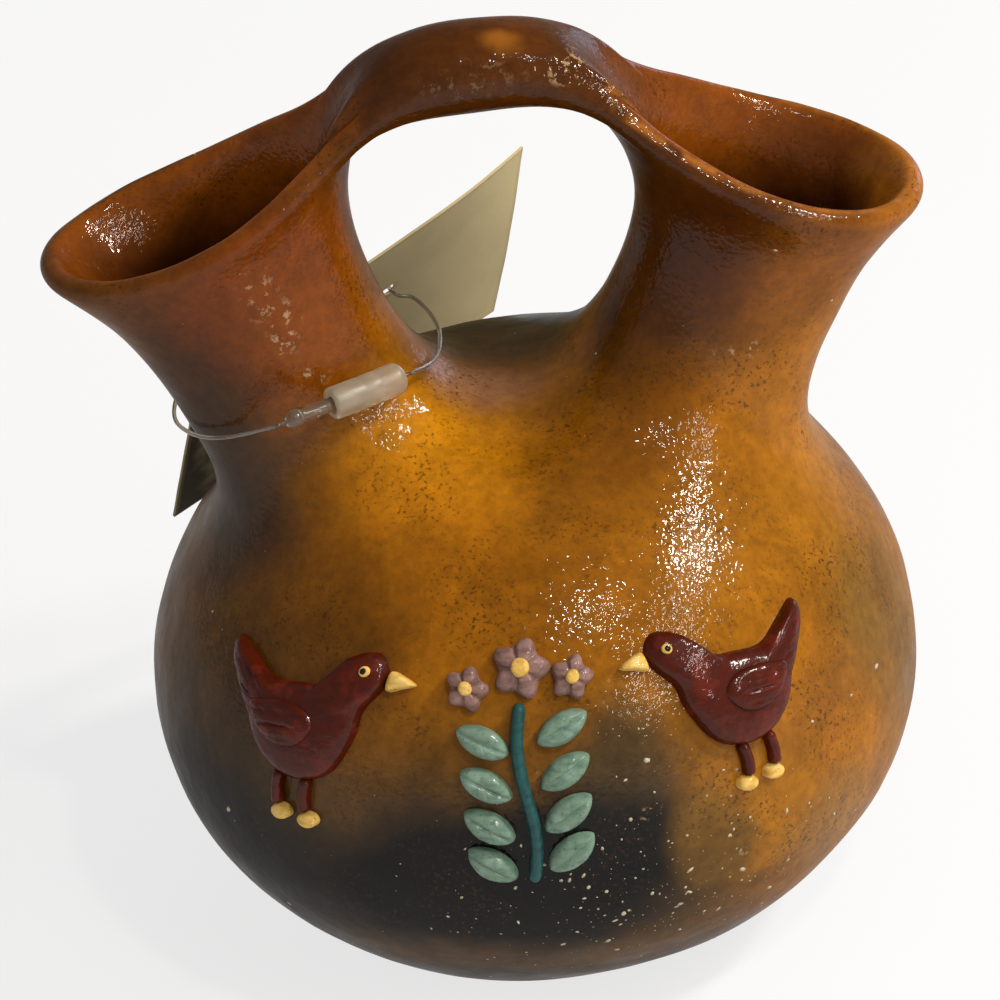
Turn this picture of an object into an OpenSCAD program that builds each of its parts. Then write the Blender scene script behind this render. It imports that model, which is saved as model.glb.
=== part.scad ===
/* [Body] */
// Width of the belly
body_w = 110; // [90:1:135]
// Height of the widest ring above the foot
belly_z = 37.5; // [30:0.5:46]
// Height of the shoulder dome above the widest ring
dome_h = 46.5; // [38:0.5:56]
// Width of the flat foot
foot_w = 52; // [42:1:62]

/* [Wall] */
// Wall thickness of the body
wall = 4.2; // [3:0.1:5.2]
// Wall thickness at the lips
rim = 3.6; // [2.8:0.1:4.4]

/* [Shoulder] */
// Latitude where the necks leave the dome at the front and back, in degrees
join_front = 50; // [40:1:58]
// Latitude where the necks leave the dome at the sides, in degrees
join_side = 32; // [26:1:39]

/* [Necks] */
// Depth of each neck at its waist, front to back
neck_d = 28; // [23:0.5:33]
// Outward flare of the lips on the far side, in degrees
flare_out = 48; // [38:1:58]
// Flare of the lips at the front and back, in degrees
flare_side = 15; // [8:1:22]
// Flare of the lips beside the handle, in degrees
flare_in = 23; // [16:1:30]

/* [Left spout] */
// Place of the neck waist, as a share of the belly's radius
l_neck_at = 0.564; // [0.51:0.01:0.62]
// Height of the neck waist above the dome top
l_neck_up = 8; // [5:0.5:12]
// Width of the neck at its waist
l_neck_w = 32.5; // [27:0.5:38]
// Outward lean of the neck, in degrees
l_lean = 22; // [16:1:28]
// Place of the lip centre, as a share of the belly's radius
l_lip_at = 0.673; // [0.6:0.01:0.74]
// Height of the outer lip above the dome top
l_lip_up = 24; // [20:0.5:28]
// Reach of the lip outward from its centre
l_lip_out = 25; // [21:0.5:29]
// Reach of the lip toward the handle from its centre
l_lip_in = 21; // [18:0.5:24]
// Width of the lip, front to back
l_lip_d = 38; // [32:0.5:45]
// Rise of the lip from its outer edge to the handle
l_rise = 18.5; // [14:0.5:22]

/* [Right spout] */
// Place of the neck waist, as a share of the belly's radius
r_neck_at = 0.573; // [0.51:0.01:0.62]
// Height of the neck waist above the dome top
r_neck_up = 9; // [6:0.5:12]
// Width of the neck at its waist
r_neck_w = 31.5; // [26:0.5:37]
// Outward lean of the neck, in degrees
r_lean = 26; // [20:1:31]
// Place of the lip centre, as a share of the belly's radius
r_lip_at = 0.645; // [0.58:0.01:0.71]
// Height of the outer lip above the dome top
r_lip_up = 21.5; // [18:0.5:26]
// Reach of the lip outward from its centre
r_lip_out = 24; // [20:0.5:28]
// Reach of the lip toward the handle from its centre
r_lip_in = 21.5; // [18:0.5:25]
// Width of the lip, front to back
r_lip_d = 42.5; // [36:0.5:50]
// Rise of the lip from its outer edge to the handle
r_rise = 21; // [17:0.5:25]

/* [Handle] */
// Height of the handle's centre line above the dome top
handle_up = 48; // [42:0.5:54]
// Width of the handle at the top, front to back
handle_w = 15; // [12.5:0.5:18]
// Thickness of the handle at the top
handle_t = 12.5; // [10:0.5:15]

/* [Relief] */
// Length of each bird from tail to beak
bird_l = 30; // [25:0.5:33]
// Thickness of the clay birds
bird_t = 2.4; // [1.8:0.1:3]
// Height of the plant
plant_h = 34; // [28:0.5:38]
// Thickness of the clay leaves and blossoms
leaf_t = 1.7; // [1.3:0.1:2.2]

/* [Loop and tag] */
// Diameter of the filament
filament_d = 0.6; // [0.4:0.1:0.8]
// Length of the lock barrel
barrel_l = 11.5; // [9.5:0.5:13.5]
// Diameter of the lock barrel
barrel_d = 4.6; // [3.8:0.1:5.4]
// Width of the paper tag
tag_w = 61.5; // [50:0.5:68]
// Height of the paper tag
tag_h = 43.5; // [36:0.5:50]
// Thickness of the paper tag
tag_t = 0.4; // [0.3:0.1:0.6]

/* [Hidden] */

R = body_w/2;
foot_r = foot_w/2;
// the lower half is an ellipse that is cut off flat at the foot
low_h = belly_z/sqrt(1 - pow(foot_r/R, 2));
foot_lat = -acos(foot_r/R);
top_z = belly_z + dome_h;

// counts: points round half the body, across the saddle, up the body, neck, flare and handle
NH = 24;
NS = 15;
NB = 14;
N1 = 8;
N2 = 6;
NL = 4;
NA = 7;
K = NH + 1 + NS;
NR = N1 + N2 + 1;
W = 2*NH;

function unit(v) = v/max(norm(v), 1e-9);
function bez(a, b, c, d, t) = pow(1 - t, 3)*a + 3*pow(1 - t, 2)*t*b + 3*(1 - t)*t*t*c + pow(t, 3)*d;
function flipx(p) = [-p[0], p[1], p[2]];

// the body: latitude of the ring where the necks begin, and points and normals on the wall
function join_lat(phi) = join_side + (join_front - join_side)*pow(sin(phi), 2);
function half_h(lat) = lat < 0 ? low_h : dome_h;
function wall_pt(phi, lat) = [R*cos(lat)*cos(phi), R*cos(lat)*sin(phi), belly_z + half_h(lat)*sin(lat)];
function wall_nm(phi, lat) = unit([
    half_h(lat)*cos(lat)*cos(phi), half_h(lat)*cos(lat)*sin(phi), R*sin(lat)]);
function wall_up(phi, lat) = unit([-R*sin(lat)*cos(phi), -R*sin(lat)*sin(phi), half_h(lat)*cos(lat)]);
function ring_lat(j, phi) = foot_lat + (join_lat(phi) - foot_lat)*j/NB;

// the saddle: a curve in the plane between the necks, from the front of the dome over its top
sad_a = wall_pt(-90, join_front);
sad_b = [0, 0, top_z];
sad_l = norm(sad_b - sad_a);
sad_c = sad_a + wall_up(-90, join_front)*sad_l*0.37;
sad_d = sad_b - [0, 1, 0]*sad_l*0.38;
function sad_v(i) = 2*(i + 1)/(NS + 1) - 1;
function sad_half(t) = bez(sad_a, sad_c, sad_d, sad_b, t);
function sad_dir(t) = unit(
    3*pow(1 - t, 2)*(sad_c - sad_a) + 6*(1 - t)*t*(sad_d - sad_c) + 3*t*t*(sad_b - sad_d));
function sad_pt(v) = let (q = sad_half(1 - abs(v))) v > 0 ? [0, -q[1], q[2]] : q;
function sad_tan(v) = let (q = sad_dir(1 - abs(v))) v > 0 ? [0, -q[1], q[2]] : q;
function sad_nm(v) = let (q = sad_dir(1 - abs(v)), s = v > 0 ? -1 : 1) unit([0, -q[2]*s, q[1]]);

// one spout: neck_x, neck_z, neck half width, lean, lip_x, lip_z, out, in, half depth, rise
LEFT = [l_neck_at*R, top_z + l_neck_up, l_neck_w/2, l_lean, l_lip_at*R, top_z + l_lip_up,
        l_lip_out, l_lip_in, l_lip_d/2, l_rise];
RIGHT = [r_neck_at*R, top_z + r_neck_up, r_neck_w/2, r_lean, r_lip_at*R, top_z + r_lip_up,
         r_lip_out, r_lip_in, r_lip_d/2, r_rise];

// angle round the spout of column k: the back, the far side, the front and then the saddle
function col_psi(k) = k <= NH ? 180 + (k*180/NH - 90)*125/90 : 360 + sad_v(k - NH - 1)*55;
function col_base(k) = k <= NH ? wall_pt(90 + k*180/NH, join_lat(90 + k*180/NH))
    : sad_pt(sad_v(k - NH - 1));
function col_nm(k) = k <= NH ? wall_nm(90 + k*180/NH, join_lat(90 + k*180/NH))
    : sad_nm(sad_v(k - NH - 1));
// direction in which a column leaves the body
function col_dir(k) = k <= NH
    ? let (phi = 90 + k*180/NH, s = k*2/NH - 1, e = 45*s*s, g = s > 0 ? 1 : -1)
        cos(e)*wall_up(phi, join_lat(phi)) + sin(e)*g*[sin(phi), -cos(phi), 0]
    : let (v = sad_v(k - NH - 1), e = 45*abs(v)) cos(e)*[-1, 0, 0] + sin(e)*sad_tan(v);
function mixk(k, a, b) = k <= NH ? a + (b - a)*0.5*pow(k*2/NH - 1, 2)
    : b - (b - a)*0.5*pow(sad_v(k - NH - 1), 2);

function waist_pt(s, psi) = [-s[0], 0, s[1]] + s[2]*cos(psi)*[cos(s[3]), 0, sin(s[3])]
    + neck_d/2*sin(psi)*[0, 1, 0];
function lip_pt(s, psi) = [-s[4] + (cos(psi) < 0 ? s[6] : s[7])*cos(psi),
    s[8]*sin(psi)*(1 - 0.16*(1 + cos(psi))), s[5] + s[9]*pow((1 + cos(psi))/2, 1.44)];
function lip_dir(psi) = let (
    e = flare_side + ((cos(psi) < 0 ? flare_out : flare_in) - flare_side)*pow(cos(psi), 2))
    unit([cos(psi)*sin(e), sin(psi)*sin(e), cos(e)]);

// outer face of a spout, row by row from the body to the lip
function spout_grid(s) = let (
    ax = [-sin(s[3]), 0, cos(s[3])],
    cols = [for (k = [0:K-1]) let (
        p = col_base(k), w = waist_pt(s, col_psi(k)), l = lip_pt(s, col_psi(k)),
        d1 = norm(w - p), d2 = norm(l - w)) [
        for (i = [0:N1])
            bez(p, p + col_dir(k)*d1*mixk(k, 0.5, 0.36), w - ax*d1*mixk(k, 0.44, 0.51), w, i/N1),
        for (i = [1:N2]) bez(w, w + ax*d2*0.6, l - lip_dir(col_psi(k))*d2*0.19, l, i/N2)]])
    [for (j = [0:NR-1]) [for (k = [0:K-1]) cols[k][j]]];

function grid_nm(g, j, k) = j == 0 ? col_nm(k)
    : let (dk = g[j][(k+1)%K] - g[j][(k+K-1)%K], dj = g[min(j+1, NR-1)][k] - g[j-1][k])
        unit(cross(dk, dj));
function thick(j) = wall + (rim - wall)*j/(NR - 1);

// rows of the inner face that are kept, from the lip down to the body
IN_ROWS = concat([for (j = [NR-1:-1:NR-4]) j], [for (j = [NR-6:-2:0]) j], (NR - 6)%2 == 0 ? [] : [0]);
NI = len(IN_ROWS);
// a whole spout: outer rows, the round of the lip and inner rows
function spout_sheet(g) = let (j = NR - 1) concat(g,
    [for (i = [1:NL]) [for (k = [0:K-1]) let (
        n = grid_nm(g, j, k), t = unit(g[j][k] - g[j-1][k]), a = 180*i/(NL + 1))
        g[j][k] - n*rim/2 + rim/2*(cos(a)*n + sin(a)*t)]],
    [for (i = IN_ROWS) [for (k = [0:K-1]) g[i][k] - grid_nm(g, i, k)*thick(i)]]);
NT = NR + NL + NI;

// the handle grows out of the lip's inner side: the patch between rows R0 and R1, columns NH to K
R0 = NR - 2;
R1 = NR + NL + 1;
M1 = NS + 1;
M2 = R1 - R0;
M = 2*M1 + 2*M2;
// edge of that patch as [row, column], front to back below, up, back to front above, down
PATCH = concat([for (i = [0:M1]) [R0, (NH + i)%K]], [for (r = [R0+1:R1-1]) [r, 0]],
    [for (i = [M1:-1:0]) [R1, (NH + i)%K]], [for (r = [R1-1:-1:R0+1]) [r, NH]]);

function sheet_nm(g, r, k) = let (j = NR - 1) r < NR ? grid_nm(g, r, k)
    : r >= NR + NL ? -grid_nm(g, IN_ROWS[r - NR - NL], k) : [0, 0, 1];
function mid_pt(i) = let (a = -90 + (i - M1/2)/M*360)
    [0, handle_w/2*cos(a), top_z + handle_up + handle_t/2*sin(a)];
function edge_psi(k) = let (p = col_psi(k)) ((p + 180)%360) - 180;
function handle_dir(g, sh, i) = let (r = PATCH[i][0], k = PATCH[i][1], p = sh[r][k])
    r != R0 && r != R1 ? unit(p - sh[r][k == NH ? NH - 1 : 1])
    : let (w = max(0, 1 - pow(edge_psi(k)/55, 2)), n = sheet_nm(g, r, k),
           v = unit(mid_pt(i) - p) + [0, 0, 1.5*w]) unit(v - (v*n)*n);
// rings of the half handle between the patch and the middle, both left out
function handle_rings(g, sh) = let (
    dirs = [for (i = [0:M-1]) handle_dir(g, sh, i)])
    [for (h = [1:NA-1]) [for (i = [0:M-1]) let (
        p = sh[PATCH[i][0]][PATCH[i][1]], e = mid_pt(i), d = norm(e - p))
        bez(p, p + dirs[i]*d*0.31, e - [d*0.6, 0, 0], e, h/NA)]];

// inner rings of the body, from the floor up to the necks
IB = [for (j = [0:2:NB]) j];
NIB = len(IB);

GL = spout_grid(LEFT);
SL = spout_sheet(GL);
HL = handle_rings(GL, SL);
GR = spout_grid(RIGHT);
SR = spout_sheet(GR);
HR = handle_rings(GR, SR);

// where each group of points begins in the list of the vase
O_BO = 0;
O_SO = O_BO + (NB + 1)*W;
O_BI = O_SO + NS;
O_SI = O_BI + NIB*W;
O_L = O_SI + NS;
O_R = O_L + (NT - 2)*K;
O_HL = O_R + (NT - 2)*K;
O_HR = O_HL + (NA - 1)*M;
O_HM = O_HR + (NA - 1)*M;

VASE_PTS = concat(
    [for (j = [0:NB]) for (i = [0:W-1]) let (phi = 90 + i*360/W) wall_pt(phi, ring_lat(j, phi))],
    [for (i = [0:NS-1]) sad_pt(sad_v(i))],
    [for (j = IB) for (i = [0:W-1]) let (phi = 90 + i*360/W, t = ring_lat(j, phi))
        wall_pt(phi, t) - wall_nm(phi, t)*wall],
    [for (i = [0:NS-1]) sad_pt(sad_v(i)) - sad_nm(sad_v(i))*wall],
    [for (j = [1:NT-2]) for (k = [0:K-1]) SL[j][k]],
    [for (j = [1:NT-2]) for (k = [0:K-1]) flipx(SR[j][k])],
    [for (r = HL) for (p = r) p],
    [for (r = HR) for (p = r) flipx(p)],
    [for (i = [0:M-1]) mid_pt(i)]);

// number of a spout point: the first and last rows belong to the body and the saddle
function ring_no(side, k) = side == 0 ? k : (W - k)%W;
function sp(side, r, k0) = let (k = k0%K)
    r == 0 ? (k <= NH ? O_BO + NB*W + ring_no(side, k) : O_SO + k - NH - 1)
    : r == NT - 1 ? (k <= NH ? O_BI + (NIB - 1)*W + ring_no(side, k) : O_SI + k - NH - 1)
    : (side == 0 ? O_L : O_R) + (r - 1)*K + k;
function hp(side, h, i0) = let (i = i0%M)
    h == 0 ? sp(side, PATCH[i][0], PATCH[i][1])
    : h == NA ? O_HM + i : (side == 0 ? O_HL : O_HR) + (h - 1)*M + i;
// two triangles of a cell, seen from outside and turned for the mirrored side
function cell(a, b, c, d, flip) = flip ? [[a, b, c], [a, c, d]] : [[a, c, b], [a, d, c]];
function in_patch(r, k) = r >= R0 && r < R1 && k >= NH;

VASE_FACES = concat(
    [for (j = [0:NB-1]) for (i = [0:W-1]) let (n = (i + 1)%W)
        each cell(j*W + i, j*W + n, (j + 1)*W + n, (j + 1)*W + i, false)],
    [for (j = [0:NIB-2]) for (i = [0:W-1]) let (n = (i + 1)%W)
        each cell(O_BI + j*W + i, O_BI + j*W + n, O_BI + (j + 1)*W + n, O_BI + (j + 1)*W + i, true)],
    [[for (i = [0:W-1]) i]],
    [[for (i = [W-1:-1:0]) O_BI + i]],
    [for (s = [0, 1]) for (r = [0:NT-2]) for (k = [0:K-1]) if (!in_patch(r, k))
        each cell(sp(s, r, k), sp(s, r, k + 1), sp(s, r + 1, k + 1), sp(s, r + 1, k), s == 1)],
    [for (s = [0, 1]) for (h = [0:NA-1]) for (i = [0:M-1])
        each cell(hp(s, h, i), hp(s, h, i + 1), hp(s, h + 1, i + 1), hp(s, h + 1, i), s == 1)]);

// the fired clay body with both spouts and the handle, built up by hand as one piece
module vase() {
    color("#a8641c") polyhedron(VASE_PTS, VASE_FACES, convexity = 10);
}

// clay relief on the front of the belly, laid on the wall in millimetres right and up

// closed smooth outline through a few points, two new points a span
function smooth(p, n) = let (c = len(p)) [for (i = [0:c-1]) for (j = [0:n-1]) let (
    t = j/n, a = p[(i + c - 1)%c], b = p[i], d = p[(i + 1)%c], e = p[(i + 2)%c])
    0.5*(2*b + (d - a)*t + (2*a - 5*b + 4*d - e)*t*t + (3*b - a - 3*d + e)*t*t*t)];
function oval(w, h, turn, n) = [for (i = [0:n-1]) let (a = i*360/n, x = w/2*cos(a), y = h/2*sin(a))
    [x*cos(turn) - y*sin(turn), x*sin(turn) + y*cos(turn)]];
// a leaf is an oval drawn out to a point at both ends
function leaf(w, h, turn, n) = [for (i = [0:n-1]) let (a = i*360/n, x = w/2*cos(a),
    y = h/2*sin(a)*pow(abs(sin(a)), 0.35)) [x*cos(turn) - y*sin(turn), x*sin(turn) + y*cos(turn)]];
function petals(r, lobes, n) = [for (i = [0:n-1]) let (a = i*360/n, q = r*(0.86 + 0.14*cos(lobes*a)))
    [q*cos(a), q*sin(a)]];

// a figure is [angle round the body, latitude, 1 or -1 for facing right or left, scale]
function beside(way, lat) = -96 + way*180/PI/(R*cos(lat));
PLANT = [-96, 15, 1, plant_h/34];
BIRD_L = [beside(-bird_l*0.62 - plant_h*0.43, 21), 21, 1, bird_l/30];
BIRD_R = [beside(bird_l*0.6 + plant_h*0.41, 22), 22, -1, bird_l/31.5];
// clearance under every piece of relief
seat = 0.15;
function laid(fig, q, h) = let (lat = fig[1] + q[1]*fig[3]*180/PI/dome_h,
    phi = fig[0] + q[0]*fig[2]*fig[3]*180/PI/(R*cos(lat))) wall_pt(phi, lat) + wall_nm(phi, lat)*h;

TOPS = [1, 0.92, 0.7, 0.35];
// a pillow of clay: edge e high, crown h high, its back following the wall at height base
module pillow(fig, c, outline, h, base) {
    n = len(outline);
    e = h*0.3;
    pts = concat(
        [for (f = TOPS) for (q = outline) laid(fig, c + q*f, base + e + (h - e)*sqrt(1 - pow(f, 5)))],
        [for (f = [1, 0.55]) for (q = outline) laid(fig, c + q*f, base)],
        [laid(fig, c, base + h), laid(fig, c, base)]);
    fl = fig[2] < 0;
    polyhedron(pts, concat(
        [for (i = [0:n-1]) let (m = (i + 1)%n) each cell(4*n + i, 4*n + m, m, i, fl)],
        [for (r = [0:2]) for (i = [0:n-1]) let (m = (i + 1)%n)
            each cell(r*n + i, r*n + m, (r + 1)*n + m, (r + 1)*n + i, fl)],
        [for (i = [0:n-1]) let (m = (i + 1)%n) fl ? [3*n + i, 3*n + m, 6*n] : [3*n + m, 3*n + i, 6*n]],
        [for (i = [0:n-1]) let (m = (i + 1)%n) each cell(4*n + i, 4*n + m, 5*n + m, 5*n + i, !fl)],
        [for (i = [0:n-1]) let (m = (i + 1)%n)
            fl ? [5*n + m, 5*n + i, 6*n + 1] : [5*n + i, 5*n + m, 6*n + 1]]),
        convexity = 4);
}
// a rolled strip of clay along a path
module roll(fig, path, w, h) {
    m = len(path);
    pts = [for (i = [0:m-1]) let (
        d = unit(path[min(i + 1, m - 1)] - path[max(i - 1, 0)]), s = [d[1], -d[0]]*w/2)
        each [laid(fig, path[i] - s, seat), laid(fig, path[i] - s, seat + h*0.5),
              laid(fig, path[i], seat + h),
              laid(fig, path[i] + s, seat + h*0.5), laid(fig, path[i] + s, seat)]];
    fl = fig[2] < 0;
    polyhedron(pts, concat(
        [for (i = [0:m-2]) for (j = [0:4]) let (k = (j + 1)%5)
            each cell(i*5 + j, i*5 + k, i*5 + 5 + k, i*5 + 5 + j, fl)],
        [for (j = [1:3]) fl ? [0, j + 1, j] : [0, j, j + 1]],
        [for (j = [1:3]) let (b = 5*m - 5) fl ? [b, b + j, b + j + 1] : [b, b + j + 1, b + j]]),
        convexity = 4);
}

BODY_LINE = [[9, 0.5], [9.4, 4], [11.3, 7], [11.6, 9.4], [9.6, 11.6], [6.6, 11], [4.4, 8.6], [2.4, 6.4],
    [-1, 5.6], [-5.5, 4.9], [-9.5, 6.4], [-13.6, 7.8], [-14, 5.8], [-11.5, 2.6], [-8.6, -0.5],
    [-6, -4.2], [-2, -6.6], [2.5, -6.8], [6.5, -4.6]];
WING_LINE = [[4.6, 0.8], [3, 2.8], [-0.5, 3.2], [-4, 2.4], [-6, 1.4], [-4.6, -0.8],
    [-1.5, -2.4], [2.5, -2]];
BEAK_LINE = [[-1.5, -1.2], [0.6, -0.7], [2.3, -0.1], [0.7, 0.8], [-1.5, 1.3]];

module bird_body(fig) { color("#5a1a16") pillow(fig, [0, 0], smooth(BODY_LINE, 2), bird_t, seat); }
module bird_wing(fig) {
    color("#6b2a26") pillow(fig, [-0.8, 0], smooth(WING_LINE, 2), bird_t*0.42, seat*2 + bird_t);
}
module bird_beak(fig) {
    color("#e2c48a") pillow(fig, [13.9, 8.5], smooth(BEAK_LINE, 2), bird_t*0.54, seat);
}
module bird_legs(fig) {
    color("#4c1512") for (x = [-1.8, 2.8])
        roll(fig, [[x, -7.3], [x - 0.4, -9.3], [x - 0.2, -11.2]], 1.7, bird_t*0.54);
}
module bird_toes(fig) {
    color("#e2c48a") for (x = [-1.5, 3.1]) pillow(fig, [x, -12.7], oval(3.2, 2.2, 8, 10), bird_t*0.5, seat);
}

module bird_left_body() { bird_body(BIRD_L); }
module bird_left_wing() { bird_wing(BIRD_L); }
module bird_left_beak() { bird_beak(BIRD_L); }
module bird_left_legs() { bird_legs(BIRD_L); }
module bird_left_toes() { bird_toes(BIRD_L); }
module bird_right_body() { bird_body(BIRD_R); }
module bird_right_wing() { bird_wing(BIRD_R); }
module bird_right_beak() { bird_beak(BIRD_R); }
module bird_right_legs() { bird_legs(BIRD_R); }
module bird_right_toes() { bird_toes(BIRD_R); }

module plant_stem() {
    color("#2f5a55") roll(PLANT, [for (i = [0:9]) [0.8*sin(i*40), -14 + i*2.8]], 1.8, leaf_t*0.76);
}
module plant_leaves() {
    color("#5b9089") for (i = [0:3]) for (g = [-1, 1])
        pillow(PLANT, [g*5.4, -10.5 + i*5.8 + g*0.6], leaf(7.6, 4, g*(34 - i*3), 14), leaf_t, seat);
}
BLOSSOMS = [[0.4, 15.6, 4], [-7, 13.2, 3], [7.2, 13.8, 3]];
module plant_blossoms() {
    color("#8a6a70") for (b = BLOSSOMS) pillow(PLANT, [b[0], b[1]], petals(b[2], 5, 20), leaf_t, seat);
}
module blossom_centres() {
    color("#e2c48a") for (b = BLOSSOMS)
        pillow(PLANT, [b[0], b[1]], oval(b[2]*0.6, b[2]*0.6, 0, 8), leaf_t*0.47, seat*2 + leaf_t);
}

// nylon loop with its push-in lock, round the left neck, and the paper tag it holds

// places beside the left neck, measured from the top of the dome at its waist in shares of its width,
// its depth and the dome's height
function by_neck(q) = [-l_neck_at*R + q[0]*l_neck_w, q[1]*neck_d, top_z + q[2]*dome_h];
lock_c = by_neck([0.338, -0.536, 0.178]);
lock_yaw = 26;
lock_pitch = 1;
lock_dir = [cos(lock_pitch)*cos(lock_yaw), cos(lock_pitch)*sin(lock_yaw), sin(lock_pitch)];
shank_l = barrel_l*0.5;
shank_r = barrel_d*0.22;
bead_r = barrel_d*0.305;
// the axis of the lock, with its closed end up
module on_lock() { translate(lock_c) rotate([0, 90 - lock_pitch, lock_yaw]) children(); }

module loop_barrel() {
    r = barrel_d/2;
    h = barrel_l/2;
    c = r*0.65;
    bore = shank_r + 0.14;
    color("#d8d4cc", 0.8) on_lock() rotate_extrude($fn = 40) polygon(concat(
        [[0, 0], [bore, 0], [bore, -h + 0.3], [bore + 0.3, -h], [r - 0.4, -h], [r, -h + 0.4]],
        [for (a = [0:15:75]) [r - c + c*cos(a), h - c + c*sin(a)]], [[r - c, h], [0, h]]));
}
module loop_plug() {
    z = -barrel_l/2 - shank_l;
    color("#e0dcd4", 0.8) on_lock() rotate_extrude($fn = 32) polygon(concat(
        [[0, -0.4], [shank_r*0.8, -0.4], [shank_r, -0.9], [shank_r, z + bead_r]],
        [for (a = [40:-18:-68]) bead_r*[cos(a), sin(a)] + [0, z]], [[0, z + bead_r*sin(-68)]]));
}

// the tag hangs from beside the neck and lies along the plane that touches the dome at its back
tag_o = by_neck([-0.342, 0.343, 0.004]);
tag_phi = 127.8;
tag_a = (tag_o[0]*cos(tag_phi) + tag_o[1]*sin(tag_phi))/R;
tag_b = (tag_o[2] - belly_z)/dome_h;
tag_lat = atan2(tag_b, tag_a) - acos(1/norm([tag_a, tag_b]));
tag_nm = wall_nm(tag_phi, tag_lat);
tag_in = unit(wall_pt(tag_phi, tag_lat) - tag_o);
tag_turn = 58.5;
tag_x = tag_in*cos(tag_turn) - cross(tag_nm, tag_in)*sin(tag_turn);
tag_y = tag_in*sin(tag_turn) + cross(tag_nm, tag_in)*cos(tag_turn);
tag_off = 0.65;
// one corner curls up
function tag_pt(s, t, off) = tag_o + tag_x*s + tag_y*t
    + tag_nm*(tag_off + off + tag_w/24*pow(max(0, s)/tag_w, 4)*pow(1 - max(0, t)/tag_h, 1.5));
HOLE = [tag_w*0.592, tag_h*0.3];
hole_r = 1.2;
// its grid lines run close past the punched hole
TAG_S = concat([for (i = [0:3]) tag_w*i*0.133], HOLE[0]*[1, 1, 1, 1] + hole_r*[-2.9, -1, 1, 2.9],
    tag_w*[0.75, 0.833, 0.917, 1]);
TAG_T = concat(tag_h*[0, 0.115], HOLE[1]*[1, 1, 1, 1] + hole_r*[-2.9, -1, 1, 2.9],
    tag_h*[0.53, 0.69, 0.85, 1]);

TC = len(TAG_S);
TD = len(TAG_T);
BLOCK = concat([for (i = [4:7]) [i, 2]], [for (j = [3:4]) [7, j]], [for (i = [7:-1:4]) [i, 5]],
    [for (j = [4:-1:3]) [4, j]]);
EDGE = concat([for (i = [0:TC-2]) [i, 0]], [for (j = [0:TD-2]) [TC - 1, j]],
    [for (i = [TC-1:-1:1]) [i, TD - 1]], [for (j = [TD-1:-1:1]) [0, j]]);
function tg(side, ij) = side*TC*TD + ij[1]*TC + ij[0];
function th(side, i) = 2*TC*TD + side*12 + i%12;
module paper_tag() {
    hub = [for (i = [0:11]) let (q = [TAG_S[BLOCK[i][0]], TAG_T[BLOCK[i][1]]] - HOLE)
        HOLE + unit(q)*hole_r];
    pts = concat([for (o = [0, tag_t]) for (t = TAG_T) for (s = TAG_S) tag_pt(s, t, o)],
        [for (o = [0, tag_t]) for (q = hub) tag_pt(q[0], q[1], o)]);
    color("#e6dcb4") polyhedron(pts, concat(
        [for (o = [0, 1]) for (j = [0:TD-2]) for (i = [0:TC-2]) if (!(i >= 4 && i < 7 && j >= 2 && j < 5))
            each cell(tg(o, [i, j]), tg(o, [i + 1, j]), tg(o, [i + 1, j + 1]), tg(o, [i, j + 1]), o == 0)],
        [for (o = [0, 1]) for (i = [0:11])
            each cell(tg(o, BLOCK[i]), tg(o, BLOCK[(i + 1)%12]), th(o, i + 1), th(o, i), o == 0)],
        [for (i = [0:len(EDGE)-1]) let (a = EDGE[i], b = EDGE[(i + 1)%len(EDGE)])
            each cell(tg(0, a), tg(0, b), tg(1, b), tg(1, a), false)],
        [for (i = [0:11]) each cell(th(0, i), th(0, i + 1), th(1, i + 1), th(1, i), true)]), convexity = 6);
}

// the filament's route from the barrel's closed end, through the tag, round the neck, to the bead
lock_end = lock_c + lock_dir*(barrel_l/2 + 0.02);
bead_end = lock_c - lock_dir*(barrel_l/2 + shank_l + bead_r*sin(68) + 0.02);
ROUTE = concat([for (i = [0:2]) lock_end + lock_dir*i*0.9],
    [for (q = [[0.622, -0.25, 0.146], [0.671, -0.018, 0.108], [0.689, 0.179, 0.099], [0.683, 0.393, 0.069],
        [0.658, 0.643, 0.034], [0.609, 0.893, 0]]) by_neck(q)],
    [for (q = [[0.3, -0.4, -1.6], [0, -0.5, tag_t/2], [-0.8, -1.8, 1.6]])
        tag_pt(HOLE[0] + q[0], HOLE[1] + q[1], q[2])],
    [tag_pt(tag_w*0.525, tag_h*0.138, 1.8), tag_pt(tag_w*0.483, tag_h*0.023, 1.6),
     tag_pt(tag_w*0.442, -1.8, 0)],
    [for (q = [[0.169, 0.664, 0.155], [-0.031, 0.6, 0.129], [-0.215, 0.493, 0.095], [-0.369, 0.321, 0.056],
        [-0.462, 0.143, 0.013], [-0.486, -0.018, -0.009], [-0.443, -0.179, -0.004], [-0.351, -0.364, 0.026],
        [-0.234, -0.507, 0.069]]) by_neck(q)],
    [for (i = [2:-1:0]) bead_end - lock_dir*i*0.9]);
function curve(p, n) = let (c = len(p)) concat([for (i = [0:c-2]) for (j = [0:n-1]) let (
    t = j/n, a = p[max(i - 1, 0)], b = p[i], d = p[i + 1], e = p[min(i + 2, c - 1)])
    0.5*(2*b + (d - a)*t + (2*a - 5*b + 4*d - e)*t*t + (3*b - a - 3*d + e)*t*t*t)], [p[c - 1]]);
function carry(v, d) = unit(v - (v*d)*d);
function frames(p, i, v) = i >= len(p) ? [] : let (
    d = unit(p[min(i + 1, len(p) - 1)] - p[max(i - 1, 0)]), w = carry(v, d))
    concat([[w, cross(d, w)]], frames(p, i + 1, w));
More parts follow.
